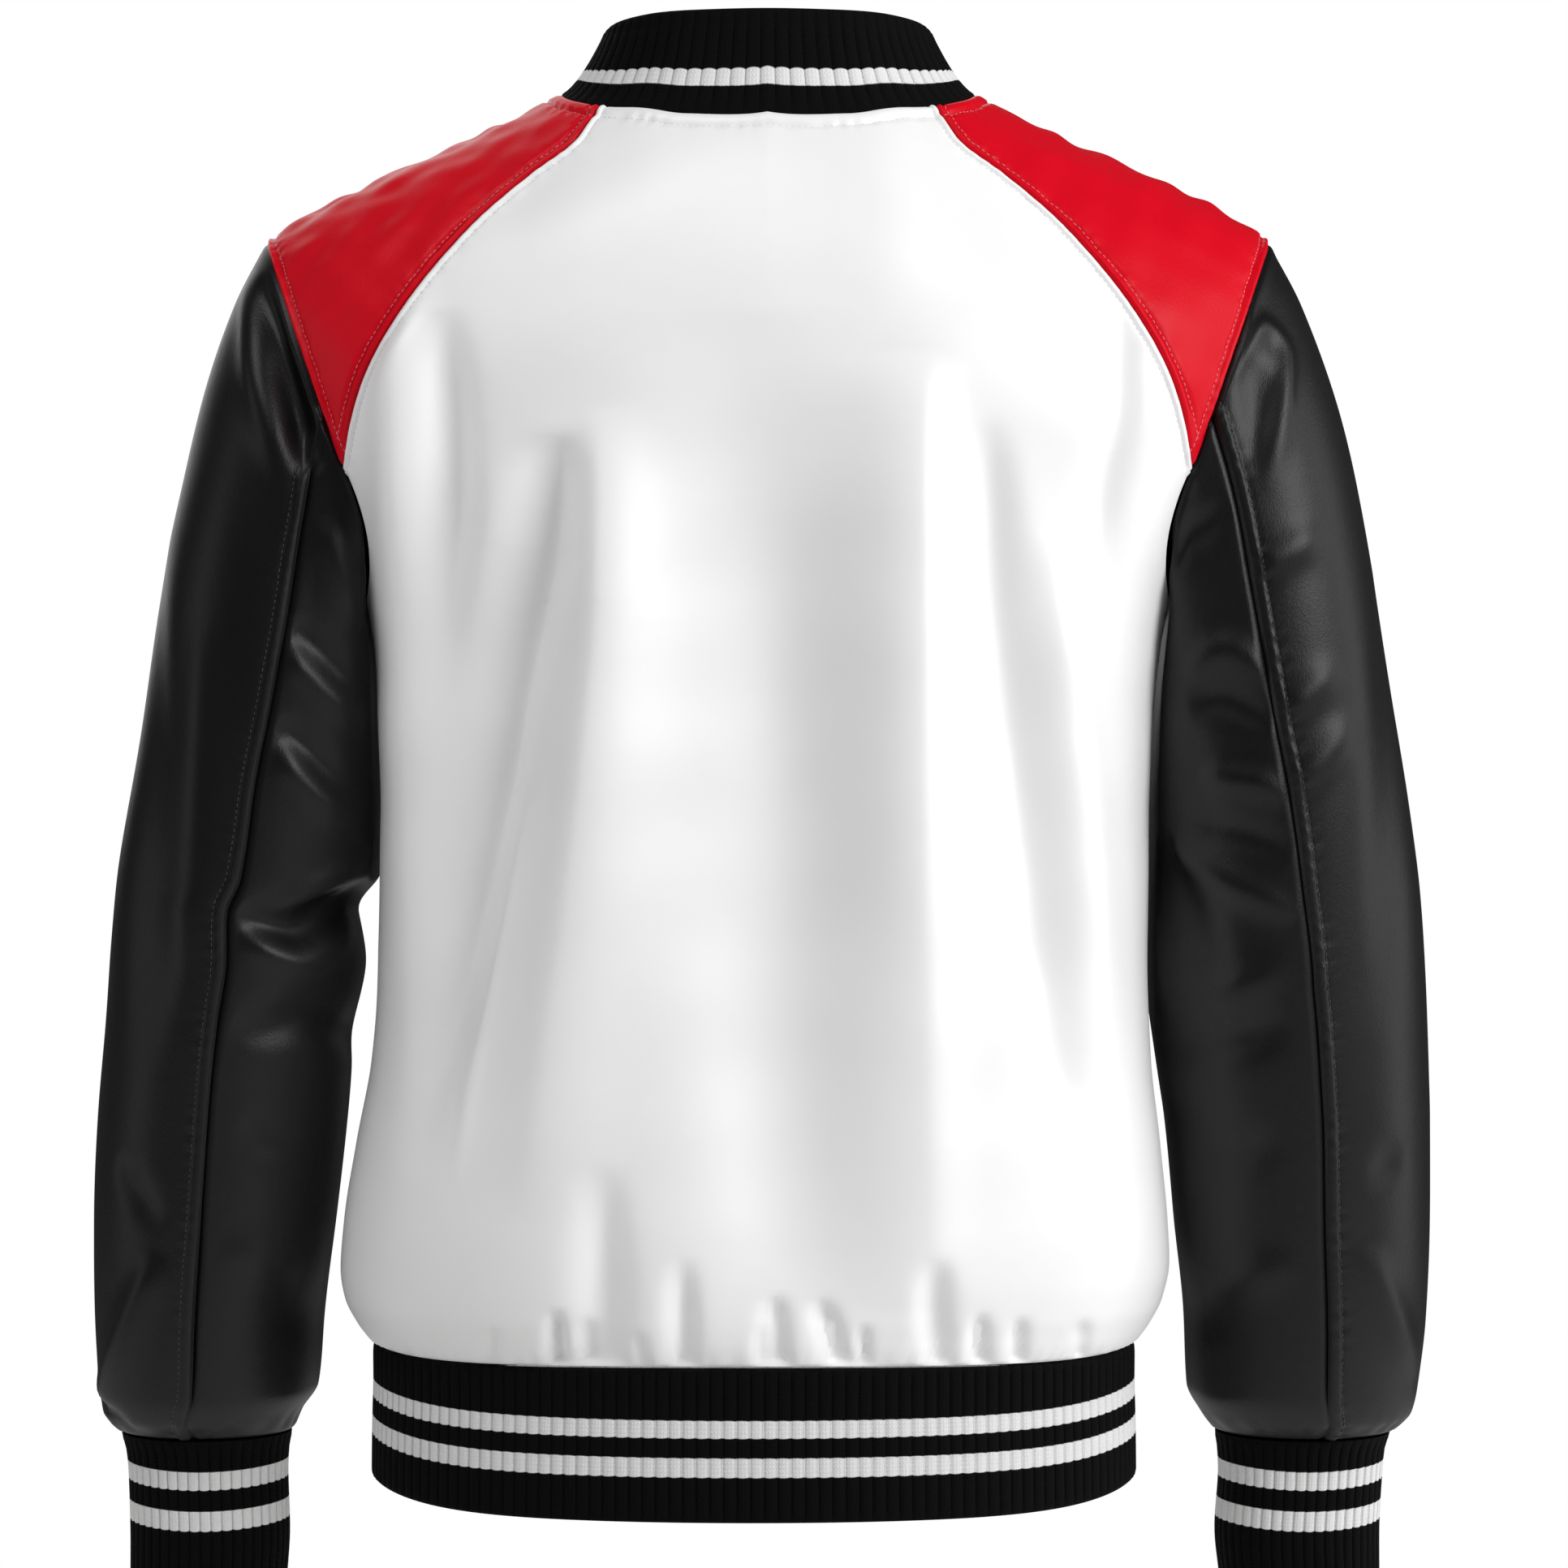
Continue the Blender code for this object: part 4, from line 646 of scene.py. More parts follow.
satin, tree = new_finish("white satin-faced cloth")
threads = {"Flat": flat_spot(tree), "Threads per Metre": 1900, "Slub": 0.35}
satin_weave = add_node(tree, "ShaderNodeGroup", node_tree=weave)
fill(tree, satin_weave, threads)
set_shader(tree, {
    "Base Color": mixed(tree, SATIN_DEEP, SATIN_WHITE, satin_weave.outputs["Tone"]),
    "Roughness": ranged(tree, satin_weave.outputs["Tone"], 0.36, 0.46),
    "Normal": bumped(tree, satin_weave.outputs["Height"], 0.12, 0.0002),
    "Sheen Weight": 0.12, "Sheen Roughness": 0.4, "Specular IOR Level": 0.7,
})


def thread_finish(name, colour):
    """Twisted sewing thread: a soft sheen, the fine slant of its plies, and painted shade in the grooves
    between them.
    """
    finish, tree = new_finish(name)
    values = {"Vector": add_node(tree, "ShaderNodeTexCoord").outputs["Object"], "Scale": 900}
    plies = add_node(tree, "ShaderNodeTexWave", values, bands_direction="DIAGONAL")
    # Painted shade: the thread's colour is darker in the diagonal bands between its plies.
    painted_shade_between_plies = [0.7 * part for part in colour[:3]] + [1]
    set_shader(tree, {"Base Color": mixed(tree, painted_shade_between_plies, colour, plies.outputs["Fac"]),
                      "Roughness": 0.55, "Sheen Weight": 0.2})
    return finish


def copies_on_points(tree, made, points, instance, rotation, finish):
    """Ends a tree: one copy of an instance on each point, made real and given its material."""
    placed = add_node(tree, "GeometryNodeInstanceOnPoints",
                      {"Points": points, "Instance": instance, "Rotation": rotation})
    real = add_node(tree, "GeometryNodeRealizeInstances", {"Geometry": placed.outputs["Instances"]})
    coloured = add_node(tree, "GeometryNodeSetMaterial",
                        {"Geometry": real.outputs["Geometry"], "Material": finish})
    fill(tree, made, {0: coloured.outputs["Geometry"]})


# Rows of stitches: each run of points becomes a curve, with one short rounded stitch at each pitch.
stitching, given, made = node_group("stitching", [
    ("Runs", "Geometry"), ("Pitch", "Float"), ("Stitch Length", "Float"), ("Thread Radius", "Float"),
    ("Thread", "Material"),
], [("Stitches", "Geometry")], "GeometryNodeTree")
as_curve = add_node(stitching, "GeometryNodeMeshToCurve", {"Mesh": given["Runs"]}).outputs["Curve"]
paced = add_node(stitching, "GeometryNodeResampleCurve", mode="LENGTH")
fill(stitching, paced, {"Curve": as_curve, "Length": given["Pitch"]})
ahead = add_node(stitching, "GeometryNodeInputTangent").outputs["Tangent"]
turned = add_node(stitching, "FunctionNodeAlignRotationToVector", {"Vector": ahead}, axis="Z")
bead = add_node(stitching, "GeometryNodeMeshUVSphere", {"Segments": 6, "Rings": 4, "Radius": 1.0})
stitch_size = add_node(stitching, "ShaderNodeCombineXYZ", {
    "X": given["Thread Radius"], "Y": given["Thread Radius"],
    "Z": add_math(stitching, "MULTIPLY", given["Stitch Length"], 0.5),
})
stitch = add_node(stitching, "GeometryNodeTransform",
                  {"Geometry": bead.outputs["Mesh"], "Scale": stitch_size.outputs["Vector"]})
copies_on_points(stitching, made, paced.outputs["Curve"], stitch.outputs["Geometry"],
                 turned.outputs["Rotation"], given["Thread"])


def made_real(piece, tree, values):
    """Runs a Geometry Nodes tree on a piece and keeps the result as its plain mesh."""
    work = piece.modifiers.new("work", "NODES")
    work.node_group = tree
    for item in tree.interface.items_tree:
        if item.in_out == "INPUT" and item.name in values:
            work[item.identifier] = values[item.name]
    made = bpy.data.meshes.new_from_object(piece.evaluated_get(bpy.context.evaluated_depsgraph_get()))
    piece.modifiers.clear()
    made.name = piece.name
    piece.data = made
    return piece


def sew(name, runs, thread, pitch=STITCH_PITCH, length=STITCH_LENGTH):
    """Rows of stitches along runs of points."""
    points = np.concatenate(runs)
    edges = []
    first = 0
    for run in runs:
        edges += [(first + k, first + k + 1) for k in range(len(run) - 1)]
        first += len(run)
    mesh = bpy.data.meshes.new(name)
    mesh.from_pydata(points.tolist(), edges, [])
    piece = in_scene(name, mesh)
    made_real(piece, stitching, {"Pitch": pitch, "Stitch Length": length, "Thread Radius": THREAD_RADIUS,
                                 "Thread": thread})
    piece.data.shade_smooth()
    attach(piece, "root")
    return piece


HEM_ROWS = (0.613, 0.6124, 0.6117, 0.611)
SIDE_DROPS = np.concatenate([HEM_ROWS, np.linspace(0.61, UNDERARM, 139)])
UNDERARM_SHARES = np.linspace(1.0, 0.0, 45)[1:]
RAGLAN_SHARES = edge_shares(92, (0.0025, 0.006, 0.0145, 0.019))[::-1][1:]
SOFTENING = 0.035
CALM_SIDES = 9            # the higher, the nearer the sides the folds keep their full height
CALM_SHARE = 0.8          # the share of their height that they lose at the sides
BODY_DRAPE = {"size": 0.075, "height": 0.0006}
HEM_GATHERS = {"pitch": 0.0093, "swing": 3.1, "slow": 0.061}
HEM_GATHER_HEIGHT = 0.00045
HEM_GATHER_REACH = 0.008
FOLDS_END = {"hem": 0.0017, "neck": 0.01, "side": 0.007}  # how near the seams the folds fade out


def edge_of_body(behind):
    """The edge from the hem up the side seam, the lower armhole and the raglan seam to the neck."""
    hole_around, hole_drop = underarm(behind, UNDERARM_SHARES)
    out, over = raglan(behind, RAGLAN_SHARES)
    seam_drop = yoke_drop(out, over)
    around = np.concatenate([np.ones(len(SIDE_DROPS)), hole_around, around_of(out, seam_drop, over)])
    return np.stack([around, np.concatenate([SIDE_DROPS, hole_drop, seam_drop])])


def softened(edge):
    """An edge of (around, drop) places with its quick turns spread out over the rows."""
    apart = edge[1][:, None] - edge[1][None, :]
    weight = np.exp(-(apart / SOFTENING) ** 2) * np.gradient(-edge[1])[None, :]
    return np.stack([(weight @ edge[0]) / weight.sum(axis=1), edge[1]])


def between(first, last, low, high, share):
    """A grid of (around, drop) places filled in smoothly between its four edges. Columns away from the side
    edges follow these only softly."""
    share = share[None, None, :]
    climb = ((first[1][0] - first[1]) / (first[1][0] - first[1][-1]))[None, :, None]
    soft_first = softened(first)[:, :, None]
    soft_last = softened(last)[:, :, None]
    sides = soft_first * (1 - share) + soft_last * share
    sides += (first[:, :, None] - soft_first) * (1 - share) ** 4 + (last[:, :, None] - soft_last) * share ** 4
    ends = low[:, None, :] * (1 - climb) + high[:, None, :] * climb
    return sides + ends - sides[:, :1] * (1 - climb) - sides[:, -1:] * climb


SIDE_ROWS = slice(0, len(SIDE_DROPS))
HOLE_ROWS = slice(len(SIDE_DROPS) - 1, len(SIDE_DROPS) + len(UNDERARM_SHARES))
RAGLAN_ROWS = slice(len(SIDE_DROPS) + len(UNDERARM_SHARES) - 1, None)
STITCHED_ROWS = slice(RAGLAN_ROWS.start + 4, -9)


def body_relief(base, drop, folds, seed):
    """The folds of a body panel and the roll of the cloth at its seams, with the gathers along the hem."""
    height = fold_relief(folds, base[..., 0], drop) + drape_noise(base[..., 0], drop, seed=seed, **BODY_DRAPE)
    aside = np.minimum(np.abs(base[..., 0] - read(BODY, "lean", drop)) / read(BODY, "half", drop), 1)
    height *= 1 - CALM_SHARE * aside ** CALM_SIDES
    from_hem, along_hem = from_run(base, base[0])
    from_neck, along_neck = from_run(base, base[-1])
    gathers = uneven_wave(along_hem, shift=seed, **HEM_GATHERS)
    height += HEM_GATHER_HEIGHT * gathers * near(from_hem, HEM_GATHER_REACH)
    fade = (1 - near(from_hem, FOLDS_END["hem"])) * (1 - near(from_neck, FOLDS_END["neck"]))
    for rows in (SIDE_ROWS, HOLE_ROWS, RAGLAN_ROWS):
        for column in (0, -1):
            away, _ = from_run(base, base[rows, column])
            fade = fade * (1 - near(away, FOLDS_END["side"]))
    return height * fade, from_hem, from_neck, along_neck


share = edge_shares(230, (0.0015, 0.003, 0.0048, 0.0072, 0.0092, 0.0125, 0.016, 0.0205, 0.027))
left_edge = edge_of_body(behind=True)
right_edge = left_edge * np.array([[-1], [1]])
turn = NECK_RAGLAN * (2 * share - 1)
out, over = neck(np.abs(turn))
neck_drop = yoke_drop(out, over)
neck_edge = np.stack([around_of(out * np.sign(turn), neck_drop, over), neck_drop])
hem_edge = np.stack([2 * share - 1, np.full(len(share), HEM_SEAM)])
around, drop = between(right_edge, left_edge, hem_edge, neck_edge, share)
base = body(around, drop)
normal = surface_normals(base, BODY_MIDDLE)
height, from_hem, from_neck, along_neck = body_relief(base, drop, BACK_FOLDS, 3)
height += rolled_seam(from_hem)
height += stitched_seam(from_neck, along_neck, NECK_STITCHES_FROM_SEAM, **NECK_SEAM)
runs = []
for column in (0, -1):
    for rows in (SIDE_ROWS, HOLE_ROWS):
        away, _ = from_run(base, base[rows, column])
        height += rolled_seam(away)
    away, along = from_run(base, base[RAGLAN_ROWS, column])
    height += stitched_seam(away, along, BODY_STITCHES_FROM_SEAM, **LAPPED)
    runs.append((column, away))
outer = draw_in(base + normal * height[..., None])
back_panel = shell("back_panel_cloth", outer, outer - normal * CLOTH, satin, flat=flat_places(base))
back_runs = []
for column, away in runs:
    inwards = np.s_[STITCHED_ROWS, ::1 if column == 0 else -1]
    back_runs.append(run_at(outer[inwards], away[inwards], BODY_STITCHES_FROM_SEAM))
between_raglans = np.s_[::-1, 12:-12]
back_runs.append(run_at(np.swapaxes(outer[between_raglans], 0, 1), from_neck[between_raglans].T,
                        NECK_STITCHES_FROM_SEAM))
white_thread = thread_finish("white thread", THREAD_WHITE)
back_stitches = sew("back_panel_stitches", back_runs, white_thread)
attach(back_panel, "root")
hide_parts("back_panel")


# ------------------------------------------------------------------------------------------- the front panels
# Two fronts of the same cloth meet in the middle, the wearer's left lapped over the right. Each front edge is
# turned under and held by one row of stitches, and the fronts hang in soft folds like those of the back.
OVERLAP = 0.014
STAND_OFF = CLOTH + 2 * SEAM_GAP  # how far the upper front lies outside the body's own surface
STEP_OUT = 0.056
STEP_WIDTH = 0.028
NECK_FRONT_END = 187.4
FRONT_EDGE_STITCHES = 0.0085
EDGE_GROOVE = 0.0003
EDGE_GROOVE_WIDTH = 0.0008
FRONT_CALM = 0.03         # how far from the middle the lower front lies flat under the upper one
FRONT_FOLDS = {1: [
    (1.2, [(112, 175, 10, 0), (108, 205, 12, -6.8), (98, 320, 15, -10.5), (89, 430, 16, -8.8),
           (82, 530, 14, -4.4), (80, 575, 12, 0)]),
    (1, [(142, 185, 10, 0), (137, 225, 12, 5.8), (128, 330, 14, 7.8), (123, 430, 14, 6.1),
         (120, 500, 12, 0)]),
    (1, [(160, 130, 8, 0), (156, 165, 9, -5.8), (150, 215, 10, -5.1), (149, 250, 10, 0)]),
    (1, [(156, 330, 11, 0), (160, 400, 12, -5.1), (166, 480, 12, -4.4), (170, 540, 11, 0)]),
    (1, [(60, 548, 6, 0), (59, 575, 8, -7.1), (58, 613, 8, -5.8)]),
    (1, [(86, 588, 4, 0), (85, 600, 4, -4.1), (85, 613, 4, -3.7)]),
    (1.1, [(110, 560, 6, 0), (111, 585, 7, -7.1), (112, 613, 7, -5.4)]),
    (1, [(136, 585, 4, 0), (137, 598, 5, -4.4), (138, 613, 5, -3.7)]),
], -1: [
    (1, [(-120, 165, 10, 0), (-116, 195, 13, -6.8), (-104, 300, 16, -9.9), (-99, 400, 16, -8.2),
         (-96, 470, 14, 0)]),
    (1.3, [(-78, 360, 12, 0), (-72, 410, 13, -5.8), (-63, 490, 14, -7.5), (-56, 570, 12, -3.4),
           (-55, 590, 10, 0)]),
    (1, [(-146, 205, 10, 0), (-140, 260, 12, 5.8), (-135, 340, 12, 6.5), (-140, 460, 12, 3.7),
         (-143, 520, 10, 0)]),
    (1, [(-161, 120, 8, 0), (-157, 160, 9, -5.4), (-150, 225, 9, 0)]),
    (1, [(-85, 555, 6, 0), (-85, 582, 8, -7.5), (-84, 613, 8, -5.8)]),
    (1, [(-104, 588, 4, 0), (-104, 600, 4, -4.1), (-105, 613, 4, -3.4)]),
    (1.2, [(-125, 566, 6, 0), (-126, 590, 7, -6.8), (-127, 613, 7, -5.4)]),
    (1, [(-50, 590, 4, 0), (-49, 601, 4, -3.7), (-49, 613, 4, -3.4)]),
]}


def step_up(out_from_middle):
    """The share of its full step that the upper front has climbed onto the layer below it."""
    return ease((STEP_OUT - out_from_middle) / STEP_WIDTH)


front_share = edge_shares(84, (0.003, 0.006, 0.01, 0.0148, 0.021, 0.03))
side_edge = edge_of_body(behind=False)
out, over = neck(NECK_RAGLAN_FRONT + (NECK_FRONT_END - NECK_RAGLAN_FRONT) * front_share)
neck_drop = yoke_drop(out, over)
climb = (side_edge[1][0] - side_edge[1]) / (side_edge[1][0] - side_edge[1][-1])
front_drop = HEM_SEAM + climb * (neck_drop[-1] - HEM_SEAM)
front_around = 2 + np.arcsin(OVERLAP / read(BODY, "half", front_drop)) / (np.pi / 2)
neck_around = around_of(out, neck_drop, over)
neck_around = neck_around + front_share ** 4 * (front_around[-1] - neck_around[-1])
hem_edge = np.stack([1 + (front_around[0] - 1) * front_share, np.full(len(front_share), HEM_SEAM)])
front_around, front_drop = between(side_edge, np.stack([front_around, front_drop]), hem_edge,
                                   np.stack([neck_around, neck_drop]), front_share)
for side, word in ((1, "left"), (-1, "right")):
    base = body(side * front_around, front_drop)
    normal = surface_normals(base, BODY_MIDDLE)
    out = side * (base[..., 0] - read(BODY, "lean", front_drop))
    if side > 0:
        step = step_up(out)
        calm = 1 - step
    else:
        step = np.zeros(out.shape)
        calm = ease((out - FRONT_CALM) / FRONT_CALM)
    height, from_hem, from_neck, along_neck = body_relief(base, front_drop, FRONT_FOLDS[side], 5 + side)
    height = height * calm + rolled_seam(from_hem) * calm + rolled_seam(from_neck)
    for rows in (SIDE_ROWS, HOLE_ROWS):
        away, _ = from_run(base, base[rows, 0])
        height += rolled_seam(away)
    from_raglan, along_raglan = from_run(base, base[RAGLAN_ROWS, 0])
    height += stitched_seam(from_raglan, along_raglan, BODY_STITCHES_FROM_SEAM, **LAPPED)
    from_edge, _ = from_run(base, base[:, -1])
    if side > 0:
        height -= EDGE_GROOVE * near(from_edge - FRONT_EDGE_STITCHES, EDGE_GROOVE_WIDTH)
    points = base + normal * height[..., None]
    points[..., 1] -= STAND_OFF * step
    outer = draw_in(points)
    panel = shell("front_panel_%s_cloth" % word, outer, outer - normal * CLOTH, satin, flat=flat_places(base))
    front_runs = [run_at(outer[STITCHED_ROWS], from_raglan[STITCHED_ROWS], BODY_STITCHES_FROM_SEAM)]
    if side > 0:
        front_runs.append(run_at(outer[3:-3, ::-1], from_edge[3:-3, ::-1], FRONT_EDGE_STITCHES))
    stitches = sew("front_panel_%s_stitches" % word, front_runs, white_thread)
    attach(panel, "root")
    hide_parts("front_panel_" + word)


# -------------------------------------------------------------------------------------- the leather shoulders
# Red smooth leather from the neck over the shoulder to the armhole, one piece a side. Its edges are turned
# under and stitched down beside each seam, which puckers it a little, and it ripples along the ridge.
LEATHER = 0.0024
RAGLAN_TURN = 112.0
SLEEVE_SEAM = 92.0
SHOULDER_STITCHES = 0.0062
ARMHOLE_STITCHES = 0.0056
TUCK_DIP = 0.0014         # how much deeper the leather dips where the cloth laps it
TUCK_ROLL = 0.0014
RED = (0.66, 0.001, 0.0125, 1)
RED_DEEP = (0.57, 0.0006, 0.009, 1)
THREAD_RED = (0.8, 0.22, 0.26, 1)
ARMHOLE = table("turn out over", [
    (-112, 0.197, 174.5), (-92, 0.207, 161.5), (-75, 0.2165, 151.0), (-60, 0.2255, 140.5),
    (-45, 0.233, 129.5), (-30, 0.2397, 118.0), (-15, 0.2446, 105.0), (0, 0.2466, 90.0),
    (15, 0.2448, 75.0), (30, 0.2405, 62.0), (45, 0.235, 50.5), (60, 0.2285, 39.5),
    (75, 0.2205, 28.3), (92, 0.212, 17.5), (112, 0.2025, 6.6),
])
SHOULDER_FOLDS = [          # their rows' places are distance from the middle and way over the shoulder
    (1, [(130, -12, 6, 0), (150, -8, 8, 1), (170, 0, 8, 0)]),
    (1, [(190, -20, 7, 0), (208, -26, 8, -1.1), (226, -34, 8, 0)]),
    (1, [(200, 30, 7, 0), (214, 38, 8, -1.1), (228, 44, 8, 0)]),
    (1, [(150, -50, 8, 0), (172, -56, 10, 1), (196, -66, 8, 0)]),
]
SHOULDER_FOLDS_END = 0.006
TURNED_EDGE = {"puff": 0.0009, "pucker": 0.0003, "groove": 0.0018, "groove_width": 0.0014}
CORNER = 0.006            # around each corner the turned edges lie flat, and rise again over CORNER_RISE
CORNER_RISE = 0.014
RIDGE_WAVE = 0.026
RIDGE_REACH = 0.03
SHOULDER_DRAPE = {"size": 0.03, "height": 0.0004}
RIDGE_RIPPLE = 0.001
OVER_METRES = ARCH * np.pi / 180

# Leather grain: small rounded cells with fine creases between them, larger where the hide is stretched less,
# and a slow change of gloss.
grain, given, made = node_group("leather grain", [
    ("Flat", "Vector"), ("Cells per Metre", "Float", 950.0),
], [("Height", "Float"), ("Tone", "Float"), ("Gloss", "Float")])
shift = noise(grain, given["Flat"], 260, 2)["Color"]
bent = add_node(grain, "ShaderNodeVectorMath", {0: shift, 1: (0.0006, 0.0006, 0), 2: given["Flat"]},
                operation="MULTIPLY_ADD")
cells = add_node(grain, "ShaderNodeTexVoronoi", feature="SMOOTH_F1")
fill(grain, cells, {"Vector": bent.outputs[0], "Scale": given["Cells per Metre"], "Smoothness": 0.35})
creases = noise(grain, given["Flat"], 95, 5, 0.6)[0]
slow = noise(grain, given["Flat"], 11, 3)[0]
cell_height = add_math(grain, "MULTIPLY", cells.outputs["Distance"], -0.6)
fill(grain, made, {
    "Height": add_math(grain, "MULTIPLY_ADD", creases, 1.4, cell_height),
    "Tone": slow,
    "Gloss": add_math(grain, "MULTIPLY_ADD", cells.outputs["Distance"], 0.18,
                      add_math(grain, "MULTIPLY", slow, 0.5)),
})


def leather_finish(name, deep, light, gloss, grain_strength, specular):
    """Smooth finished leather: its grain, and slow changes of colour and gloss."""
    finish, tree = new_finish(name)
    hide = add_node(tree, "ShaderNodeGroup", node_tree=grain)
    fill(tree, hide, {"Flat": flat_spot(tree)})
    set_shader(tree, {
        "Base Color": mixed(tree, deep, light, hide.outputs["Tone"]),
        "Roughness": ranged(tree, hide.outputs["Gloss"], *gloss),
        "Normal": bumped(tree, hide.outputs["Height"], grain_strength),
        "Specular IOR Level": specular,
    })
    return finish


red_leather = leather_finish("red leather", RED_DEEP, RED, (0.36, 0.48), 0.22, 0.12)
red_thread = thread_finish("red thread", THREAD_RED)

shoulder_turns = RAGLAN_TURN * (2 * edge_shares(150, (0.0014, 0.003, 0.0052, 0.0095, 0.0125, 0.0165)) - 1)
shoulder_along = edge_shares(100, (0.0025, 0.006, 0.0135, 0.0165, 0.0235, 0.0275))
climb = ((shoulder_turns - shoulder_turns[0]) / (2 * RAGLAN_TURN))[:, None]
share = shoulder_along[None, :]
front_seam = np.stack(raglan(False, shoulder_along))[:, None, :]
back_seam = np.stack(raglan(True, shoulder_along))[:, None, :]
neck_turns = NECK_RAGLAN_FRONT + (NECK_RAGLAN - NECK_RAGLAN_FRONT) * climb[:, 0]
inner_end = np.stack(neck(neck_turns))[:, :, None]
tip = np.stack([read(ARMHOLE, "out", shoulder_turns), read(ARMHOLE, "over", shoulder_turns)])[:, :, None]
ends = front_seam * (1 - climb) + back_seam * climb
sides = inner_end * (1 - share) + tip * share
shoulder_out, shoulder_over = sides + ends - sides[:, :1] * (1 - climb) - sides[:, -1:] * climb
for side, word in ((1, "left"), (-1, "right")):
    base = yoke(shoulder_out, shoulder_over) * np.array([side, 1, 1])
    normal = surface_normals(base, BODY_MIDDLE)
    over_metres = (shoulder_over - 90) * OVER_METRES
    height = fold_relief(SHOULDER_FOLDS, shoulder_out, over_metres * side)
    ripple = np.sin(2 * np.pi * (shoulder_out + 0.004 * np.sin(shoulder_out * 90)) / RIDGE_WAVE + side)
    height += RIDGE_RIPPLE * ripple * near(over_metres, RIDGE_REACH)
    height += drape_noise(shoulder_out, over_metres, seed=11 + side, **SHOULDER_DRAPE)
    from_neck, along_neck = from_run(base, base[:, 0])
    from_hole, along_hole = from_run(base, base[:, -1])
    from_front, along_front = from_run(base, base[0])
    from_back, along_back = from_run(base, base[-1])
    for away in (from_neck, from_hole, from_front, from_back):
        height *= 1 - near(away, SHOULDER_FOLDS_END)
    height += stitched_seam(from_neck, along_neck, NECK_STITCHES_FROM_SEAM, **NECK_SEAM)
    in_corner = np.hypot(from_hole, np.minimum(from_front, from_back))
    clear_of_corner = ease((in_corner - CORNER) / CORNER_RISE)
    for away, along, stitches_at in ((from_hole, along_hole, ARMHOLE_STITCHES),
                                     (from_front, along_front, SHOULDER_STITCHES),
                                     (from_back, along_back, SHOULDER_STITCHES)):
        height += clear_of_corner * stitched_seam(away, along, stitches_at, **TURNED_EDGE)
    height += rolled_seam(np.minimum(from_front, from_back), TUCK_DIP, TUCK_ROLL)
    outer = draw_in(base + normal * height[..., None])
    inner = draw_in(draw_in(outer - normal * LEATHER))
    panel = shell("shoulder_panel_%s_leather" % word, outer, inner, red_leather, flat=flat_places(base))
    runs = [
        run_at(np.swapaxes(outer[::-1, 4:-5], 0, 1), from_back[::-1, 4:-5].T, SHOULDER_STITCHES),
        run_at(np.swapaxes(outer[:, 4:-5], 0, 1), from_front[:, 4:-5].T, SHOULDER_STITCHES),
        run_at(outer[3:-3], from_neck[3:-3], NECK_STITCHES_FROM_SEAM),
        run_at(outer[3:-3, ::-1], from_hole[3:-3, ::-1], ARMHOLE_STITCHES),
    ]
    stitches = sew("shoulder_panel_%s_stitches" % word, runs, red_thread)
    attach(panel, "root")
    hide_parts("shoulder_panel_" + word)


# ---------------------------------------------------------------------------------------- the leather sleeves
# Black leather, two pieces a sleeve, which join in a seam behind the arm and one before it. The upper piece
# is stitched down beside both. The arms hang a little forward, creased at the elbow, and the ends are eased
# onto the narrower cuffs and puff over them.
CUFF_SEAM = 0.658
CLEARANCE = 0.0034
BESIDE = 0.012
SLEEVE_STITCHES = 0.007
METRES_PER_DEGREE = 0.00115
TUCKED_UNDER = 1.008      # the under piece reaches this much further round, beneath the top piece
UNDER_DIP = 0.0024        # the under piece dips deeper beside the stitched seams
UNDER_ROLL = 0.0022
SLEEVE_PUCKER = {1: 0.0002, -1: 0.00055}
HELD_REACH = 0.004
SEAM_SHOWS = {1: 0.18, -1: 0.15}  # drop below which the back seam isn't hidden in a fold
SEAM_FADES_IN = 0.01
UNDER_LIES_FLAT = 0.016   # how far above the cuff the under piece's seams start to dip deeper,
UNDER_DIPS_IN = 0.03      # and over what length
SLEEVE_DRAPE = {"size": 0.13, "height": 0.0005}
CUFF_GATHERS = {"pitch": 0.0115, "swing": 2.6, "slow": 0.083}
CUFF_GATHER_HEIGHT = 0.0007
CUFF_GATHER_REACH = 0.01
FADE_TOP = 0.009
TUCKED = 0.35             # the share of a hollow's depth that goes on under the shoulder seam
FADE_CUFF = 0.0091
HELD_AT_SEAMS = 0.75      # the share of their height that folds lose at the stitched seams
RESIDUE = 0.45
BLACK = (0.0018, 0.0018, 0.002, 1)
BLACK_WORN = (0.004, 0.004, 0.0044, 1)
THREAD_BLACK = (0.03, 0.03, 0.032, 1)
OUTLINE = {1: table("drop outer inner", [
    (0.069, 0.2466, 0.15), (0.1, 0.2625, 0.157), (0.15, 0.2795, 0.168), (0.2, 0.2908, 0.18),
    (0.25, 0.3, 0.186), (0.3, 0.3085, 0.186), (0.35, 0.3163, 0.1875), (0.38, 0.3207, 0.1915),
    (0.398, 0.3228, 0.202), (0.422, 0.3256, 0.1993), (0.45, 0.3281, 0.2042), (0.5, 0.3322, 0.2098),
    (0.55, 0.3348, 0.2156), (0.6, 0.3357, 0.2225), (0.635, 0.3348, 0.2256), (0.648, 0.333, 0.2335),
    (0.658, 0.3249, 0.2379),
]), -1: table("drop outer inner", [
    (0.069, 0.2466, 0.15), (0.1, 0.263, 0.157), (0.15, 0.28, 0.168), (0.2, 0.2915, 0.18),
    (0.25, 0.3012, 0.186), (0.3, 0.3088, 0.185), (0.35, 0.3163, 0.186), (0.39, 0.3216, 0.1855),
    (0.43, 0.325, 0.1863), (0.45, 0.3262, 0.1896), (0.48, 0.3276, 0.1941), (0.5, 0.3283, 0.197),
    (0.55, 0.3287, 0.2018), (0.6, 0.3281, 0.208), (0.635, 0.3252, 0.2095), (0.648, 0.3225, 0.2157),
    (0.658, 0.3125, 0.223),
])}
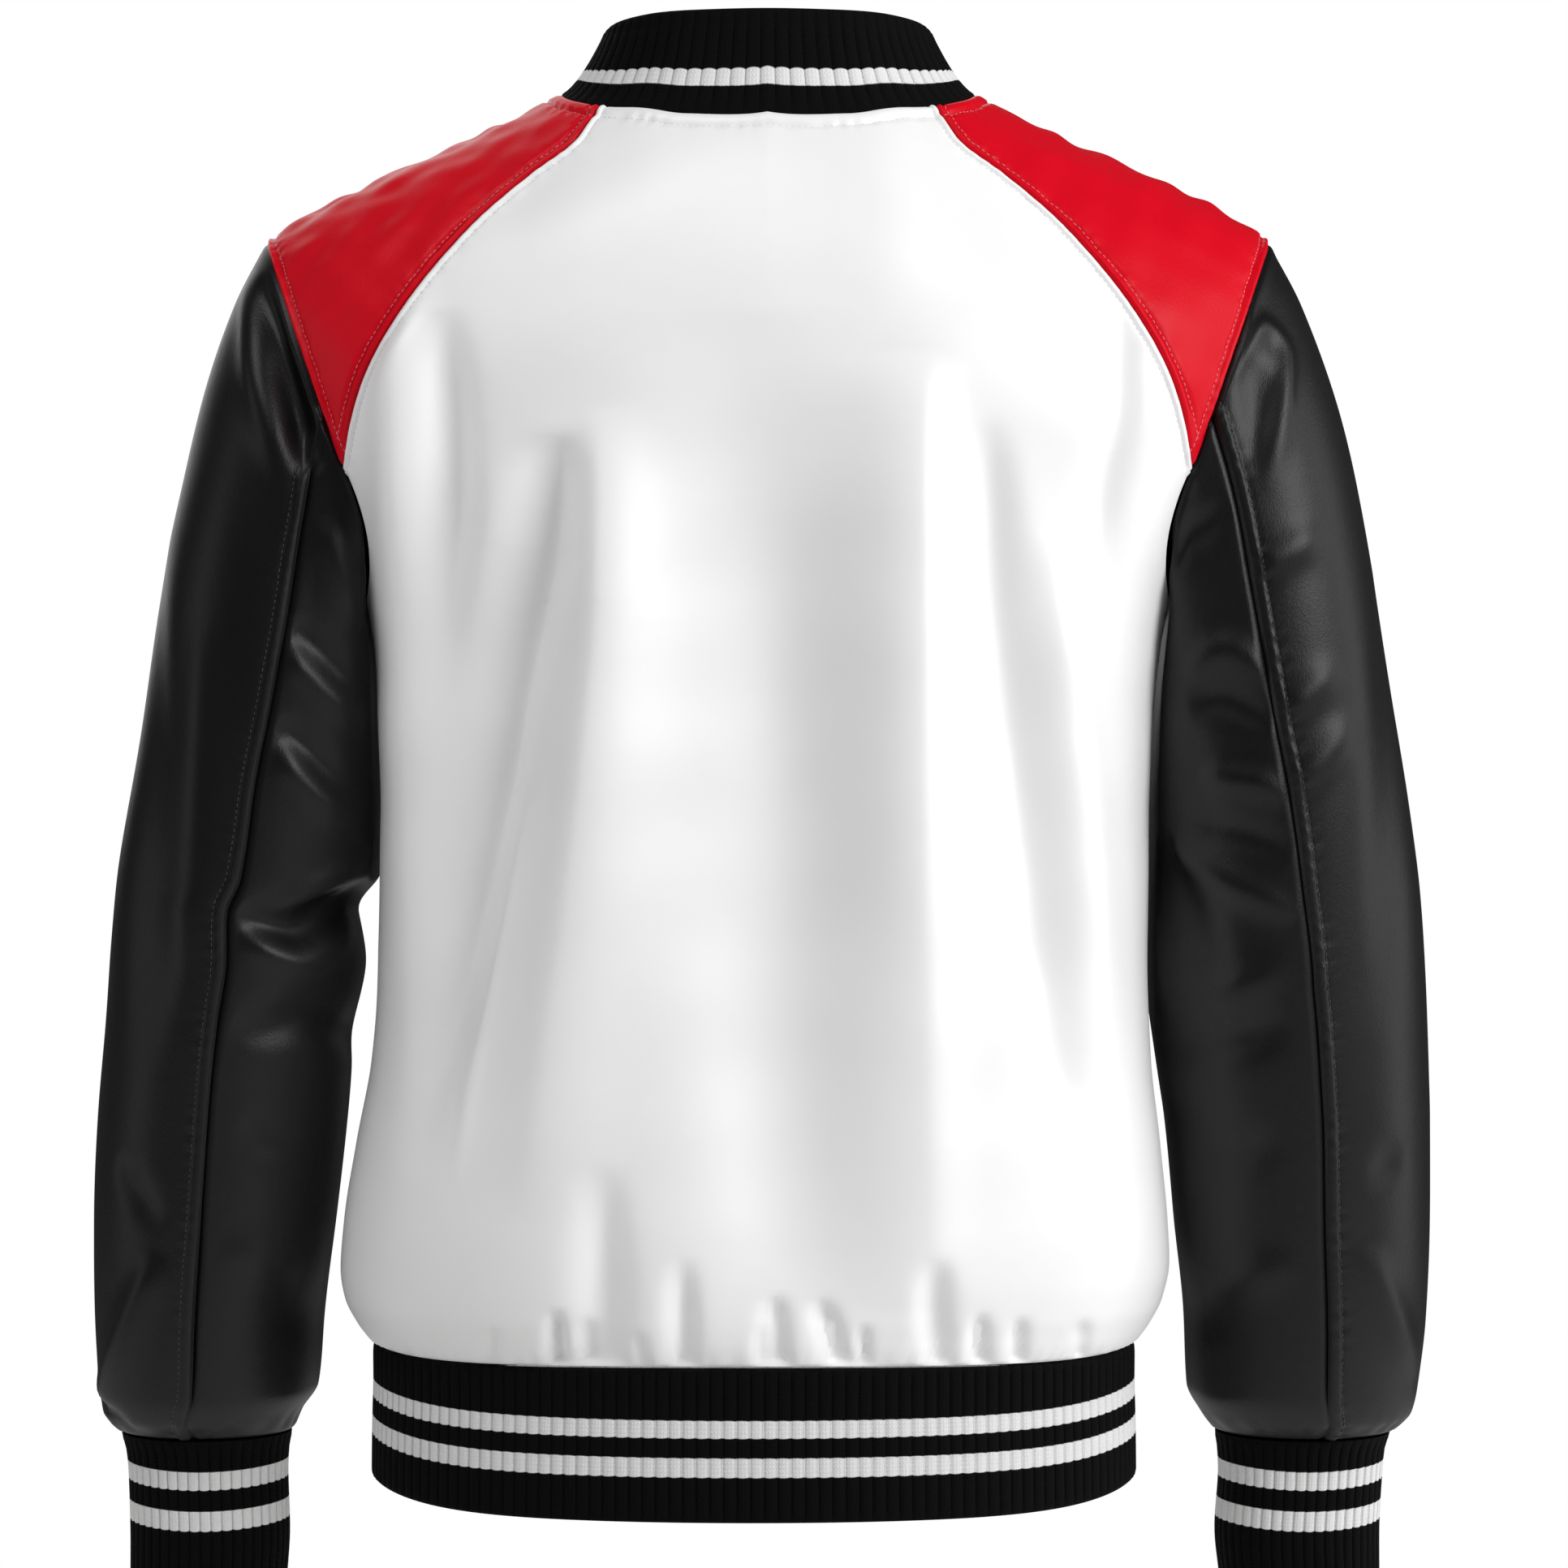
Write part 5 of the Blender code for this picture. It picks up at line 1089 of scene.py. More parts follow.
SLEEVE_SIDE = table("drop forward deep", [
    (0.069, 0.0, 0.07), (0.155, 0.002, 0.078), (0.2, 0.003, 0.0775), (0.27, 0.0045, 0.0745),
    (0.37, 0.0085, 0.0705), (0.46, 0.0145, 0.0675), (0.56, 0.024, 0.063), (0.635, 0.032, 0.057),
    (0.648, 0.0335, 0.051), (0.658, 0.0345, 0.04),
])
SEAMS = table("drop left_back right_back front", [
    (0.16, 92.0, 92.0, 92), (0.2, 98.5, 94.5, 93), (0.235, 101.0, 97.0, 94), (0.285, 98.5, 94.5, 95),
    (0.342, 94.5, 90.5, 97), (0.382, 94.0, 88.0, 98), (0.435, 92.5, 85.0, 99), (0.492, 91.2, 85.5, 100),
    (0.593, 91.0, 86.5, 100), (0.658, 88.5, 83.5, 100),
])
SLEEVE_FOLDS = {1: [        # their rows' places are turn round the arm, in degrees, and drop
    (1, [(16, 86, 6, 0), (36, 112, 7, 3.4), (52, 138, 8, 4.6), (70, 166, 8, 4.4), (92, 204, 8, 0)]),
    (2.8, [(28, 88, 4, 0), (53, 118, 5, -6.4), (71, 146, 5.5, -9.5), (83, 166, 5.5, -8.6), (91, 179, 5, -4.2),
           (98, 190, 4, 0)]),
    (1, [(100, 256, 5, 0), (110, 264, 8, -2.8), (124, 278, 9, -3.4), (142, 296, 8, 0)]),
    (1, [(101, 268, 5, 0), (112, 281, 8, 3.4), (128, 295, 9, 3.4), (148, 310, 8, 0)]),
    (1, [(101, 304, 5, 0), (110, 312, 7, -3), (122, 324, 8, -3.4), (142, 344, 7, 0)]),
    (1, [(103, 316, 5, 0), (112, 330, 8, 3.2), (126, 344, 8, 3.2), (146, 360, 7, 0)]),
    (1, [(100, 406, 5, 0), (110, 415, 8, 3.6), (126, 421, 9, 4.4), (146, 413, 9, 3.6), (168, 398, 8, 0)]),
    (1, [(98, 394, 5, 0), (108, 401, 7, -3.6), (124, 405, 8, -5.2), (146, 396, 9, -5.8), (170, 388, 9, -4),
         (205, 394, 10, 0)]),
    (1, [(110, 396, 5, 0), (126, 388, 7, 2.2), (144, 375, 7, 2.2), (160, 366, 6, 0)]),
    (1, [(98, 450, 8, 0), (112, 452, 10, -3), (135, 448, 10, -4.6), (165, 456, 10, -4), (200, 462, 10, 0)]),
    (1, [(44, 515, 6, 0), (52, 526, 8, -2.4), (62, 538, 8, -2.4), (74, 550, 6, 0)]),
    (1.2, [(72, 562, 7, 0), (64, 580, 9, 4), (50, 606, 10, 5), (26, 634, 10, 3), (10, 644, 8, 0)]),
    (1, [(6, 638, 4, 0), (20, 643, 5, -3.6), (38, 648, 5, -3), (54, 652, 4, 0)]),
    (1, [(10, 215, 12, 0), (26, 270, 16, -2.4), (42, 325, 18, -3.6), (54, 400, 18, -3.6), (60, 480, 16, 0)]),
    (1, [(58, 255, 8, 0), (66, 300, 11, 2), (74, 380, 12, 2.2), (78, 450, 11, 0)]),
    (1, [(106, 206, 6, 0), (116, 222, 8, 3), (128, 240, 9, 3.2), (144, 260, 8, 0)]),
    (1, [(104, 500, 8, 0), (124, 508, 10, -2.4), (148, 520, 10, 0)]),
    (1, [(100, 560, 8, 0), (122, 566, 10, 2.2), (146, 578, 10, 0)]),
    (1, [(262, 300, 6, 0), (245, 306, 9, -4.4), (222, 320, 10, 0)]),
    (1, [(266, 355, 6, 0), (248, 362, 9, -4.6), (222, 382, 10, 0)]),
    (1, [(270, 425, 7, 0), (252, 432, 10, -6), (226, 442, 11, 0)]),
    (1, [(268, 396, 6, 0), (246, 402, 9, 3), (228, 412, 9, 0)]),
    (1, [(-32, 466, 8, 0), (-55, 478, 11, -3.6), (-82, 494, 10, 0)]),
    (1, [(-30, 180, 8, 0), (-54, 210, 11, -3), (-76, 250, 10, 0)]),
    (1, [(-58, 566, 7, 0), (-40, 600, 9, 2.8), (-18, 630, 8, 0)]),
], -1: [
    (1, [(78, 144, 4, 0), (66, 126, 5, 2.2), (50, 115, 5, 2.5), (43, 124, 5, 2.7), (52, 144, 5, 2.8),
         (62, 162, 6, 2.6), (80, 196, 6, 0)]),
    (1, [(70, 130, 7, 0), (66, 141, 10, -2.6), (69, 154, 10, -3.4), (76, 172, 8, -2.2), (84, 190, 6, 0)]),
    (1, [(94, 234, 6, 0), (84, 228, 8, 2.8), (70, 221, 8, 2.6), (56, 212, 6, 0)]),
    (1, [(90, 300, 6, 0), (82, 295, 8, 2.6), (72, 287, 8, 2.2), (60, 276, 6, 0)]),
    (1, [(90, 336, 6, 0), (80, 328, 8, 2.4), (68, 316, 8, 2.2), (54, 302, 6, 0)]),
    (1, [(136, 284, 6, 0), (126, 277, 8, 2.8), (113, 271, 9, 3.6), (100, 279, 7, 2), (92, 286, 5, 0)]),
    (1, [(134, 300, 7, 0), (118, 294, 9, -3.6), (104, 300, 8, -3), (94, 310, 6, 0)]),
    (1, [(130, 328, 6, 0), (119, 332, 8, 3.2), (106, 334, 8, 3.4), (92, 343, 6, 0)]),
    (1, [(140, 352, 6, 0), (124, 356, 8, -3), (104, 362, 8, -2.6), (92, 372, 6, 0)]),
    (1, [(152, 362, 6, 0), (140, 370, 8, 3.6), (122, 380, 9, 4.6), (104, 390, 8, 3), (91, 400, 6, 0)]),
    (1, [(166, 360, 9, 0), (154, 372, 12, -5), (142, 394, 13, -7), (130, 418, 12, -4), (120, 432, 10, 0)]),
    (1, [(150, 230, 7, 0), (134, 222, 9, -4), (116, 213, 8, -3.4), (98, 200, 6, 0)]),
    (1, [(96, 446, 8, 0), (116, 456, 10, -3.8), (142, 464, 10, -3.4), (168, 470, 9, 0)]),
    (1, [(94, 420, 7, 0), (110, 430, 9, 2.4), (130, 444, 9, 0)]),
    (1.2, [(70, 556, 7, 0), (62, 574, 9, 2.6), (48, 600, 10, 3.2), (22, 628, 9, 0)]),
    (1, [(46, 510, 7, 0), (56, 520, 9, -2), (68, 532, 7, 0)]),
    (1, [(14, 230, 12, 0), (30, 300, 16, -2.2), (46, 380, 18, -3), (54, 460, 16, 0)]),
    (1, [(102, 505, 8, 0), (124, 514, 10, -2.2), (150, 526, 10, 0)]),
    (1, [(98, 566, 8, 0), (120, 574, 10, 2.2), (148, 584, 10, 0)]),
    (1, [(262, 300, 6, 0), (245, 306, 9, -4.2), (222, 322, 10, 0)]),
    (1, [(266, 365, 6, 0), (248, 374, 9, -4.8), (222, 394, 10, 0)]),
    (1, [(270, 436, 7, 0), (252, 442, 10, -5.6), (226, 452, 11, 0)]),
    (1, [(268, 404, 6, 0), (246, 410, 9, 2.8), (228, 420, 9, 0)]),
    (1, [(-32, 476, 8, 0), (-56, 488, 11, -3.6), (-82, 504, 10, 0)]),
    (1, [(-28, 186, 8, 0), (-52, 216, 11, -3), (-76, 254, 10, 0)]),
    (1, [(-60, 560, 7, 0), (-42, 598, 9, 2.8), (-18, 630, 8, 0)]),
]}


def armhole(side, turn):
    """Points of a whole armhole by the turn round it. side is 1 for the wearer's left and -1 for the
    right."""
    turn = np.asarray(turn, float)
    upper = yoke(read(ARMHOLE, "out", turn), read(ARMHOLE, "over", turn))
    share = np.clip((np.abs(turn) - RAGLAN_TURN) / (180 - RAGLAN_TURN), 0, 1)
    around_back, drop_back = underarm(True, share)
    around_front, drop_front = underarm(False, share)
    lower = body(np.where(turn > 0, around_back, around_front), np.where(turn > 0, drop_back, drop_front))
    points = np.where((np.abs(turn) <= RAGLAN_TURN)[..., None], upper, lower)
    points[..., 0] *= side
    return points


def middle_and_half(rows, drop):
    """The middle and half width of a sleeve or cuff that is given by its outer and inner sides."""
    outer = read(rows, "outer", drop)
    inner = read(rows, "inner", drop)
    return (outer + inner) / 2, (outer - inner) / 2


def tube(side, turn, drop):
    """Points of a sleeve as a plain tube, by the turn round it and the drop."""
    centre, half = middle_and_half(OUTLINE[side], drop)
    angle = np.radians(turn)
    deep = read(SLEEVE_SIDE, "deep", drop) * np.sin(angle) - read(SLEEVE_SIDE, "forward", drop)
    return stack(side * (centre + half * np.cos(angle)), deep, -drop)


def clear_of_body(side, points):
    """Sleeve points moved out to where they hang just clear of the body."""
    drop = -points[..., 2]
    depth = np.where(points[..., 1] > 0, read(BODY, "back", drop), read(BODY, "front", drop))
    half = read(BODY, "half", drop) * ring_share(points[..., 1], depth, read(BODY, "square", drop))
    edge = half + side * read(BODY, "lean", drop)
    room = CLEARANCE * ease((drop - UNDERARM + BESIDE) / (2 * BESIDE)) + SEAM_GAP
    kept_out = np.maximum(side * points[..., 0], edge + room)
    beside = (drop > UNDERARM - BESIDE) & (np.abs(points[..., 1]) < depth)
    points = points.copy()
    points[..., 0] = np.where(beside, side * kept_out, points[..., 0])
    return points


def sleeve(side, turn, along):
    """Points of a sleeve without its folds, from the armhole (along 0) to the cuff seam (1)."""
    wrapped = (turn + 180) % 360 - 180
    start = armhole(side, wrapped)
    start_drop = -start[..., 2]
    drop = start_drop + along * (CUFF_SEAM - start_drop)
    left_over = np.clip(1 - along / RESIDUE, 0, 1) ** 2
    points = tube(side, turn, drop) + (start - tube(side, turn, start_drop)) * left_over[..., None]
    return clear_of_body(side, points)


def sleeve_turns(side, part, share, along):
    """The turns of a sleeve piece's columns in a row: they start at its seams at the armhole, and follow
    the seams as these wander down the sleeve."""
    drop = SEAMS["drop"][0] + along * (CUFF_SEAM - SEAMS["drop"][0])
    back_seam = read(SEAMS, "left_back" if side > 0 else "right_back", drop)
    front_seam = read(SEAMS, "front", drop)
    if part == "top":
        start = SLEEVE_SEAM * (2 * share - 1)
        return np.where(start > 0, start * back_seam / SLEEVE_SEAM, start * front_seam / SLEEVE_SEAM)
    start = SLEEVE_SEAM + (360 - 2 * SLEEVE_SEAM) * share
    behind = 180 - (180 - start) * (180 - back_seam) / (180 - SLEEVE_SEAM)
    before = 180 + (start - 180) * (180 - front_seam) / (180 - SLEEVE_SEAM)
    return np.where(start < 180, behind, before)


black_leather = leather_finish("black leather", BLACK, BLACK_WORN, (0.38, 0.5), 0.26, 0.33)
black_thread = thread_finish("black thread", THREAD_BLACK)
sleeve_rows = edge_shares(226, (0.0012, 0.0026, 0.006, 0.0082, 0.0125, 0.015))
sleeve_columns = edge_shares(96, (0.003, 0.006, 0.025, 0.0285, 0.036, 0.04))
for side, word in ((1, "left"), (-1, "right")):
    for part in ("top", "under"):
        turns = np.stack([sleeve_turns(side, part, sleeve_columns, row) for row in sleeve_rows])
        if part == "under":
            turns = 180 + (turns - 180) * TUCKED_UNDER
        along = sleeve_rows[:, None] * np.ones(turns.shape)
        base = sleeve(side, turns, along)
        drop = -base[..., 2]
        centre, _ = middle_and_half(OUTLINE[side], drop)
        normal = surface_normals(base, stack(side * centre, 0.0, base[..., 2]))
        across = METRES_PER_DEGREE * ((turns + 90) % 360 - 90)
        height = fold_relief(SLEEVE_FOLDS[side], across, drop, METRES_PER_DEGREE)
        height += drape_noise(across, drop, seed=21 + side, **SLEEVE_DRAPE)
        from_hole, _ = from_run(base, base[0])
        from_cuff, along_cuff = from_run(base, base[-1])
        gathers = uneven_wave(along_cuff, shift=side, **CUFF_GATHERS)
        height += CUFF_GATHER_HEIGHT * gathers * near(from_cuff, CUFF_GATHER_REACH)
        height *= np.maximum(ease(from_hole / FADE_TOP), np.where(height < 0, TUCKED, 0))
        height *= ease(from_cuff / FADE_CUFF)
        from_low, along_low = from_run(base, base[:, 0])
        from_high, along_high = from_run(base, base[:, -1])
        for away in (from_low, from_high):
            height *= 1 - HELD_AT_SEAMS * near(away, HELD_REACH)
        height += rolled_seam(from_hole) + rolled_seam(from_cuff)
        shown = ease((drop - SEAM_SHOWS[side]) / SEAM_FADES_IN)
        if part == "top":
            sizes = {"puff": 0.0009, "pucker": SLEEVE_PUCKER[side], "pucker_length": 0.0068}
            height += stitched_seam(from_low, along_low, SLEEVE_STITCHES, **sizes)
            height += stitched_seam(from_high, along_high, SLEEVE_STITCHES, **sizes) * shown
        else:
            dip = SEAM_DIP + (UNDER_DIP - SEAM_DIP) * ease((from_cuff - UNDER_LIES_FLAT) / UNDER_DIPS_IN)
            height += rolled_seam(from_low, dip, UNDER_ROLL) * shown
            height += rolled_seam(from_high, dip, UNDER_ROLL)
        outer = draw_in(clear_of_body(side, base + normal * height[..., None]))
        inner = draw_in(draw_in(outer - normal * LEATHER))
        panel = shell("sleeve_%s_%s_leather" % (part, word), outer, inner, black_leather,
                      flat=flat_places(base))
        with_pieces = []
        if part == "top":
            seam_rows = np.s_[int(np.argmax(shown[:, -1] > 0.5)) + 3:-3]
            runs = [run_at(outer[3:-3], from_low[3:-3], SLEEVE_STITCHES),
                    run_at(outer[seam_rows, ::-1], from_high[seam_rows, ::-1], SLEEVE_STITCHES)]
            with_pieces = [sew("sleeve_%s_stitches" % word, runs, black_thread)]
        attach(panel, "root")
        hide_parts("sleeve_%s_%s" % (part, word))


# ---------------------------------------------------------------------------------------------- the rib trims
# The collar, hem band and cuffs are black rib-knit wool, folded double, with white stripes knitted in: one in
# the collar, two in each other band. The ribs run up and down, so the stripes' edges step over each of them.
RIB_KNIT = 0.0036
RIB_STAND_OFF = RIB_KNIT + 5 * SEAM_GAP
RIB_PITCH = 0.0063
CUFF_PITCH = 0.0058
RIB_DEPTH = 0.0011
RIB_SOFTNESS = 0.42       # below 1 for narrow valleys between round ribs
SEAM_RIB = 0.3
BAND_EDGE = 0.0025
HEM_END = 0.6815
HEM_END_RISE = 0.0037
HEM_END_SIDE_RISE = 0.008
CUFF_END = 0.7335
CUFF_SLOPE = 0.1
COLLAR_FLARE = 0.65
COLLAR_CORNER = 0.01
RIB_COLUMNS = 8
RUN_POINTS = 1201
RIB_BLACK = (0.0006, 0.0006, 0.0007, 1)
RIB_BLACK_LIT = (0.0026, 0.0026, 0.0028, 1)
VALLEY_SHADE = 0.42       # strength of the painted shade in the valleys between a stripe's ribs
RIB_WHITE = (0.7, 0.7, 0.7, 1)
COLLAR_STRIPE = [(0.355, 0.085)]  # middle and half height, as shares of the collar's height
HEM_STRIPES = [(0.0256, 0.0046), (0.0433, 0.0042)]
STRIPE_BOW = 0.0003       # how far a stripe's edge bows over each rib
STRIPE_EDGE = 0.0004      # and how softly it ends
CUFF_STRIPES = [(0.679, 0.0047), (0.6992, 0.0051)]
COLLAR_TOP = table("turn out deep rise", [
    (-25, -0.035, 0.066, 0.0343), (0, 0.0, 0.072, 0.034), (25, 0.035, 0.066, 0.0343),
    (45, 0.058, 0.0515, 0.035), (70, 0.0765, 0.026, 0.0344), (90, 0.0815, 0.0, 0.0315),
    (110, 0.0775, -0.027, 0.0225), (135, 0.0625, -0.057, 0.002), (160, 0.033, -0.08, -0.025),
    (180, 0.0, -0.087, -0.04),
])
HEM = table("drop half back front ribs", [
    (HEM_END, 0.1868, 0.1185, 0.117, 0.0), (HEM_END - 0.0008, 0.1877, 0.1194, 0.1179, 0.5),
    (HEM_END - BAND_EDGE, 0.1881, 0.1198, 0.1183, 1.0), (HEM_SEAM + 0.035, 0.1877, 0.1193, 0.1178, 1.0),
    (HEM_SEAM + 0.02, 0.1873, 0.1188, 0.1173, 1.0), (HEM_SEAM + 0.006, 0.1874, 0.1188, 0.1173, 1.0),
    (HEM_SEAM + 0.002, 0.1872, 0.1186, 0.1171, 0.75), (HEM_SEAM + SEAM_GAP, 0.1866, 0.118, 0.1165, SEAM_RIB),
])
CUFF = {1: table("drop outer inner deep", [
    (0.658, 0.3245, 0.2383, 0.0395), (0.667, 0.3218, 0.2404, 0.0372), (0.679, 0.3208, 0.2411, 0.0362),
    (0.708, 0.3204, 0.2406, 0.0362), (0.7335, 0.3208, 0.2423, 0.036),
]), -1: table("drop outer inner deep", [
    (0.658, 0.312, 0.2233, 0.0395), (0.667, 0.3088, 0.225, 0.0372), (0.679, 0.3078, 0.2257, 0.0362),
    (0.708, 0.3067, 0.2242, 0.0362), (0.7335, 0.3071, 0.2268, 0.036),
])}
CUFF_RINGS = table("drop swell ribs", [
    (CUFF_END, -0.0008, 0.0), (CUFF_END - 0.0009, -0.0001, 0.5), (CUFF_END - BAND_EDGE, 0.0, 1.0),
    (0.715, 0.0, 1.0), (0.679, 0.0, 1.0), (0.667, 0.0, 1.0), (0.662, 0.0, 0.8),
    (CUFF_SEAM + 1.5 * SEAM_GAP, -0.0006, SEAM_RIB),
])


def rib_wave(tree, around, pitch):
    """0 in the valleys between the ribs, and 1 on their crowns."""
    turned = add_math(tree, "MULTIPLY", add_math(tree, "DIVIDE", around, pitch), np.pi)
    return add_math(tree, "ABSOLUTE", add_math(tree, "SINE", turned))


# Ribs: the band's surface drops between the ribs, by its own depth at each point.
ribbing, given, made = node_group("ribbing", [
    ("Band", "Geometry"), ("Rib Pitch", "Float"), ("Rib Depth", "Float"), ("Softness", "Float"),
    ("Knit", "Material"),
], [("Band", "Geometry")], "GeometryNodeTree")
rib_share, around = [add_node(ribbing, "GeometryNodeInputNamedAttribute", {"Name": mark}).outputs["Attribute"]
                     for mark in ("rib share", "around")]
crown = add_math(ribbing, "POWER", rib_wave(ribbing, around, given["Rib Pitch"]), given["Softness"])
sunk = add_math(ribbing, "MULTIPLY", add_math(ribbing, "SUBTRACT", crown, 1.0),
                add_math(ribbing, "MULTIPLY", rib_share, given["Rib Depth"]))
facing = add_node(ribbing, "GeometryNodeInputNormal").outputs["Normal"]
inwards = add_node(ribbing, "ShaderNodeVectorMath", operation="SCALE")
fill(ribbing, inwards, {0: facing, "Scale": sunk})
moved = add_node(ribbing, "GeometryNodeSetPosition",
                 {"Geometry": given["Band"], "Offset": inwards.outputs[0]})
coloured = add_node(ribbing, "GeometryNodeSetMaterial",
                    {"Geometry": moved.outputs["Geometry"], "Material": given["Knit"]})
fill(ribbing, made, {"Band": coloured.outputs["Geometry"]})

# The knit's own stitches: a fine chain of slanting loops along each rib.
knit, given, made = node_group("knit loops", [
    ("Flat", "Vector"), ("Chains per Metre", "Float", 640.0), ("Loops per Metre", "Float", 520.0),
], [("Height", "Float"), ("Fuzz", "Float")])
parted = add_node(knit, "ShaderNodeSeparateXYZ", {0: given["Flat"]}).outputs
across_chain = add_math(knit, "FRACT", add_math(knit, "MULTIPLY", parted["X"], given["Chains per Metre"]))
slant = add_math(knit, "ABSOLUTE", add_math(knit, "SUBTRACT", across_chain, 0.5))
loops = add_math(knit, "MULTIPLY", parted["Y"], given["Loops per Metre"])
phase = add_math(knit, "MULTIPLY", add_math(knit, "ADD", loops, slant), 2 * np.pi)
loop_height = add_math(knit, "MULTIPLY_ADD", add_math(knit, "SINE", phase), 0.5, 0.5)
chain_height = add_math(knit, "SINE", add_math(knit, "MULTIPLY", across_chain, np.pi))
fuzz = noise(knit, given["Flat"], 900, 4)[0]
fill(knit, made, {"Fuzz": fuzz, "Height": add_math(knit, "MULTIPLY_ADD", fuzz, 0.5,
                                                   add_math(knit, "MULTIPLY", loop_height, chain_height))})

# A knitted stripe: 1 within it, with an edge that bows over each rib and painted shade in the valleys between
# the ribs.
stripe, given, made = node_group("knitted stripe", [
    ("Flat", "Vector"), ("Rib Pitch", "Float", RIB_PITCH), ("Middle", "Float", 0.0),
    ("Half Height", "Float", 0.005), ("Bow", "Float", 0.0005), ("Edge", "Float", 0.0003),
], [("Mask", "Float")])
parted = add_node(stripe, "ShaderNodeSeparateXYZ", {0: given["Flat"]}).outputs
crown = rib_wave(stripe, parted["X"], given["Rib Pitch"])
grown = add_math(stripe, "MULTIPLY_ADD", add_math(stripe, "SUBTRACT", crown, 0.5), given["Bow"],
                 given["Half Height"])
away = add_math(stripe, "ABSOLUTE", add_math(stripe, "SUBTRACT", parted["Y"], given["Middle"]))
softly = add_math(stripe, "DIVIDE", add_math(stripe, "SUBTRACT", grown, away), given["Edge"])
clamped = add_node(stripe, "ShaderNodeClamp", {"Value": softly}).outputs[0]
# Painted shade: the stripe fades towards the black ground in the valleys between its ribs.
valley = add_math(stripe, "POWER", add_math(stripe, "SUBTRACT", 1.0, crown), 8.0)
shaded = add_math(stripe, "SUBTRACT", 1.0, add_math(stripe, "MULTIPLY", valley, VALLEY_SHADE))
fill(stripe, made, {"Mask": add_math(stripe, "MULTIPLY", clamped, shaded)})


def rib_finish(name, stripes, pitch, bow, edge):
    """Black rib knit with its white stripes: loops, a little fuzz, and painted shade in the stripes' valleys
    between the ribs.
    """
    finish, tree = new_finish(name)
    loops = add_node(tree, "ShaderNodeGroup", node_tree=knit)
    fill(tree, loops, {"Flat": flat_spot(tree, "knitted")})
    colour = mixed(tree, RIB_BLACK, RIB_BLACK_LIT, loops.outputs["Fuzz"])
    for middle, half_height in stripes:
        mask = add_node(tree, "ShaderNodeGroup", node_tree=stripe)
        fill(tree, mask, {"Flat": flat_spot(tree), "Rib Pitch": pitch, "Middle": middle,
                          "Half Height": half_height, "Bow": bow, "Edge": edge})
        colour = mixed(tree, colour, RIB_WHITE, mask.outputs["Mask"])
    set_shader(tree, {
        "Base Color": colour,
        "Roughness": ranged(tree, loops.outputs["Fuzz"], 0.8, 0.98),
        "Normal": bumped(tree, loops.outputs["Height"], 0.5),
        "Specular IOR Level": 0.1, "Sheen Weight": 0.004, "Sheen Roughness": 0.5,
    })
    return finish


def spaced(run, count):
    """A run of points divided again into equal lengths, and its length."""
    lengths = np.concatenate([[0], np.cumsum(np.linalg.norm(np.diff(run, axis=0), axis=1))])
    at = np.linspace(0, lengths[-1], count + 1)
    return np.stack([np.interp(at, lengths, run[:, axis]) for axis in range(3)], axis=-1), lengths[-1]


def sideways(run, closed=False):
    """The level direction out of a run of points that goes round the wearer with the outside on its right."""
    if closed:
        ahead = np.roll(run, -1, axis=-2) - np.roll(run, 1, axis=-2)
    else:
        ahead = np.gradient(run, axis=-2)
    out = stack(ahead[..., 1], -ahead[..., 0], 0 * ahead[..., 0])
    return out / np.linalg.norm(out, axis=-1, keepdims=True)


def join_seam(mesh, spots, length):
    """Lets the flat places of the faces that close a ring run on past its start."""
    for face in mesh.polygons:
        own = slice(face.loop_start, face.loop_start + face.loop_total)
        if np.ptp(spots[own, 0]) > length / 2:
            spots[own, 0] += length * (spots[own, 0] < length / 2)


def rib_band(name, runs, shares, heights, pitch, depth, finish, closed=False):
    """A rib-knit band from its runs, lowest first, with the ribs' depth share in each run and the height that
    its stripes are measured by at each point. Gives the piece and its flat size."""
    _, length = spaced(runs[-1], 1)
    ribs = int(round(length / pitch))
    columns = ribs * RIB_COLUMNS
    even = np.array([spaced(run, columns)[0] for run in runs])
    level = np.array([np.interp(np.linspace(0, 1, columns + 1), np.linspace(0, 1, len(row)), row)
                      for row in heights])
    if closed:
        even = even[:, :-1]
        level = level[:, :-1]
    around = np.arange(even.shape[1]) * length / columns + 0 * level
    up = np.cumsum(np.concatenate([[0], np.linalg.norm(np.diff(even[:, 0], axis=0), axis=-1)]))
    piece = shell(name, even, even - sideways(even, closed) * RIB_KNIT, finish, coarse=RIB_COLUMNS // 2,
                  closed=closed, flat=np.stack([around, level], axis=-1),
                  marks={"rib share": shares[:, None] + 0 * level, "around": around})
    mesh = piece.data
    points = loop_points(mesh)
    spots = np.empty(len(points) * 2)
    mesh.uv_layers["flat"].data.foreach_get("uv", spots)
    spots = spots.reshape(-1, 2)
    if closed:
        join_seam(mesh, spots, length)
        mesh.uv_layers["flat"].data.foreach_set("uv", spots.ravel())
    on_outside = points < around.size
    spots[on_outside, 1] = up[points[on_outside] // even.shape[1]]
    mesh.uv_layers.new(name="knitted").data.foreach_set("uv", spots.ravel())
    made_real(piece, ribbing, {"Rib Pitch": length / ribs, "Rib Depth": depth, "Softness": RIB_SOFTNESS,
                               "Knit": finish})
    piece.data.shade_smooth()
    piece.data.set_sharp_from_angle(angle=np.radians(75))
    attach(piece, "root")
    return piece, length, float(up[-1])


def finer(rows, count):
    """A table of rings, given from its last place to its first, with more rings between its own."""
    first = next(iter(rows))
    places = rows[first]
    rising = {column: values[::-1] for column, values in rows.items()}
    at = np.unique(np.concatenate([np.linspace(places.min(), places.max(), count), places]))
    made = {column: read(rising, column, at)[::-1] for column in rows}
    made[first] = at[::-1]
    return made


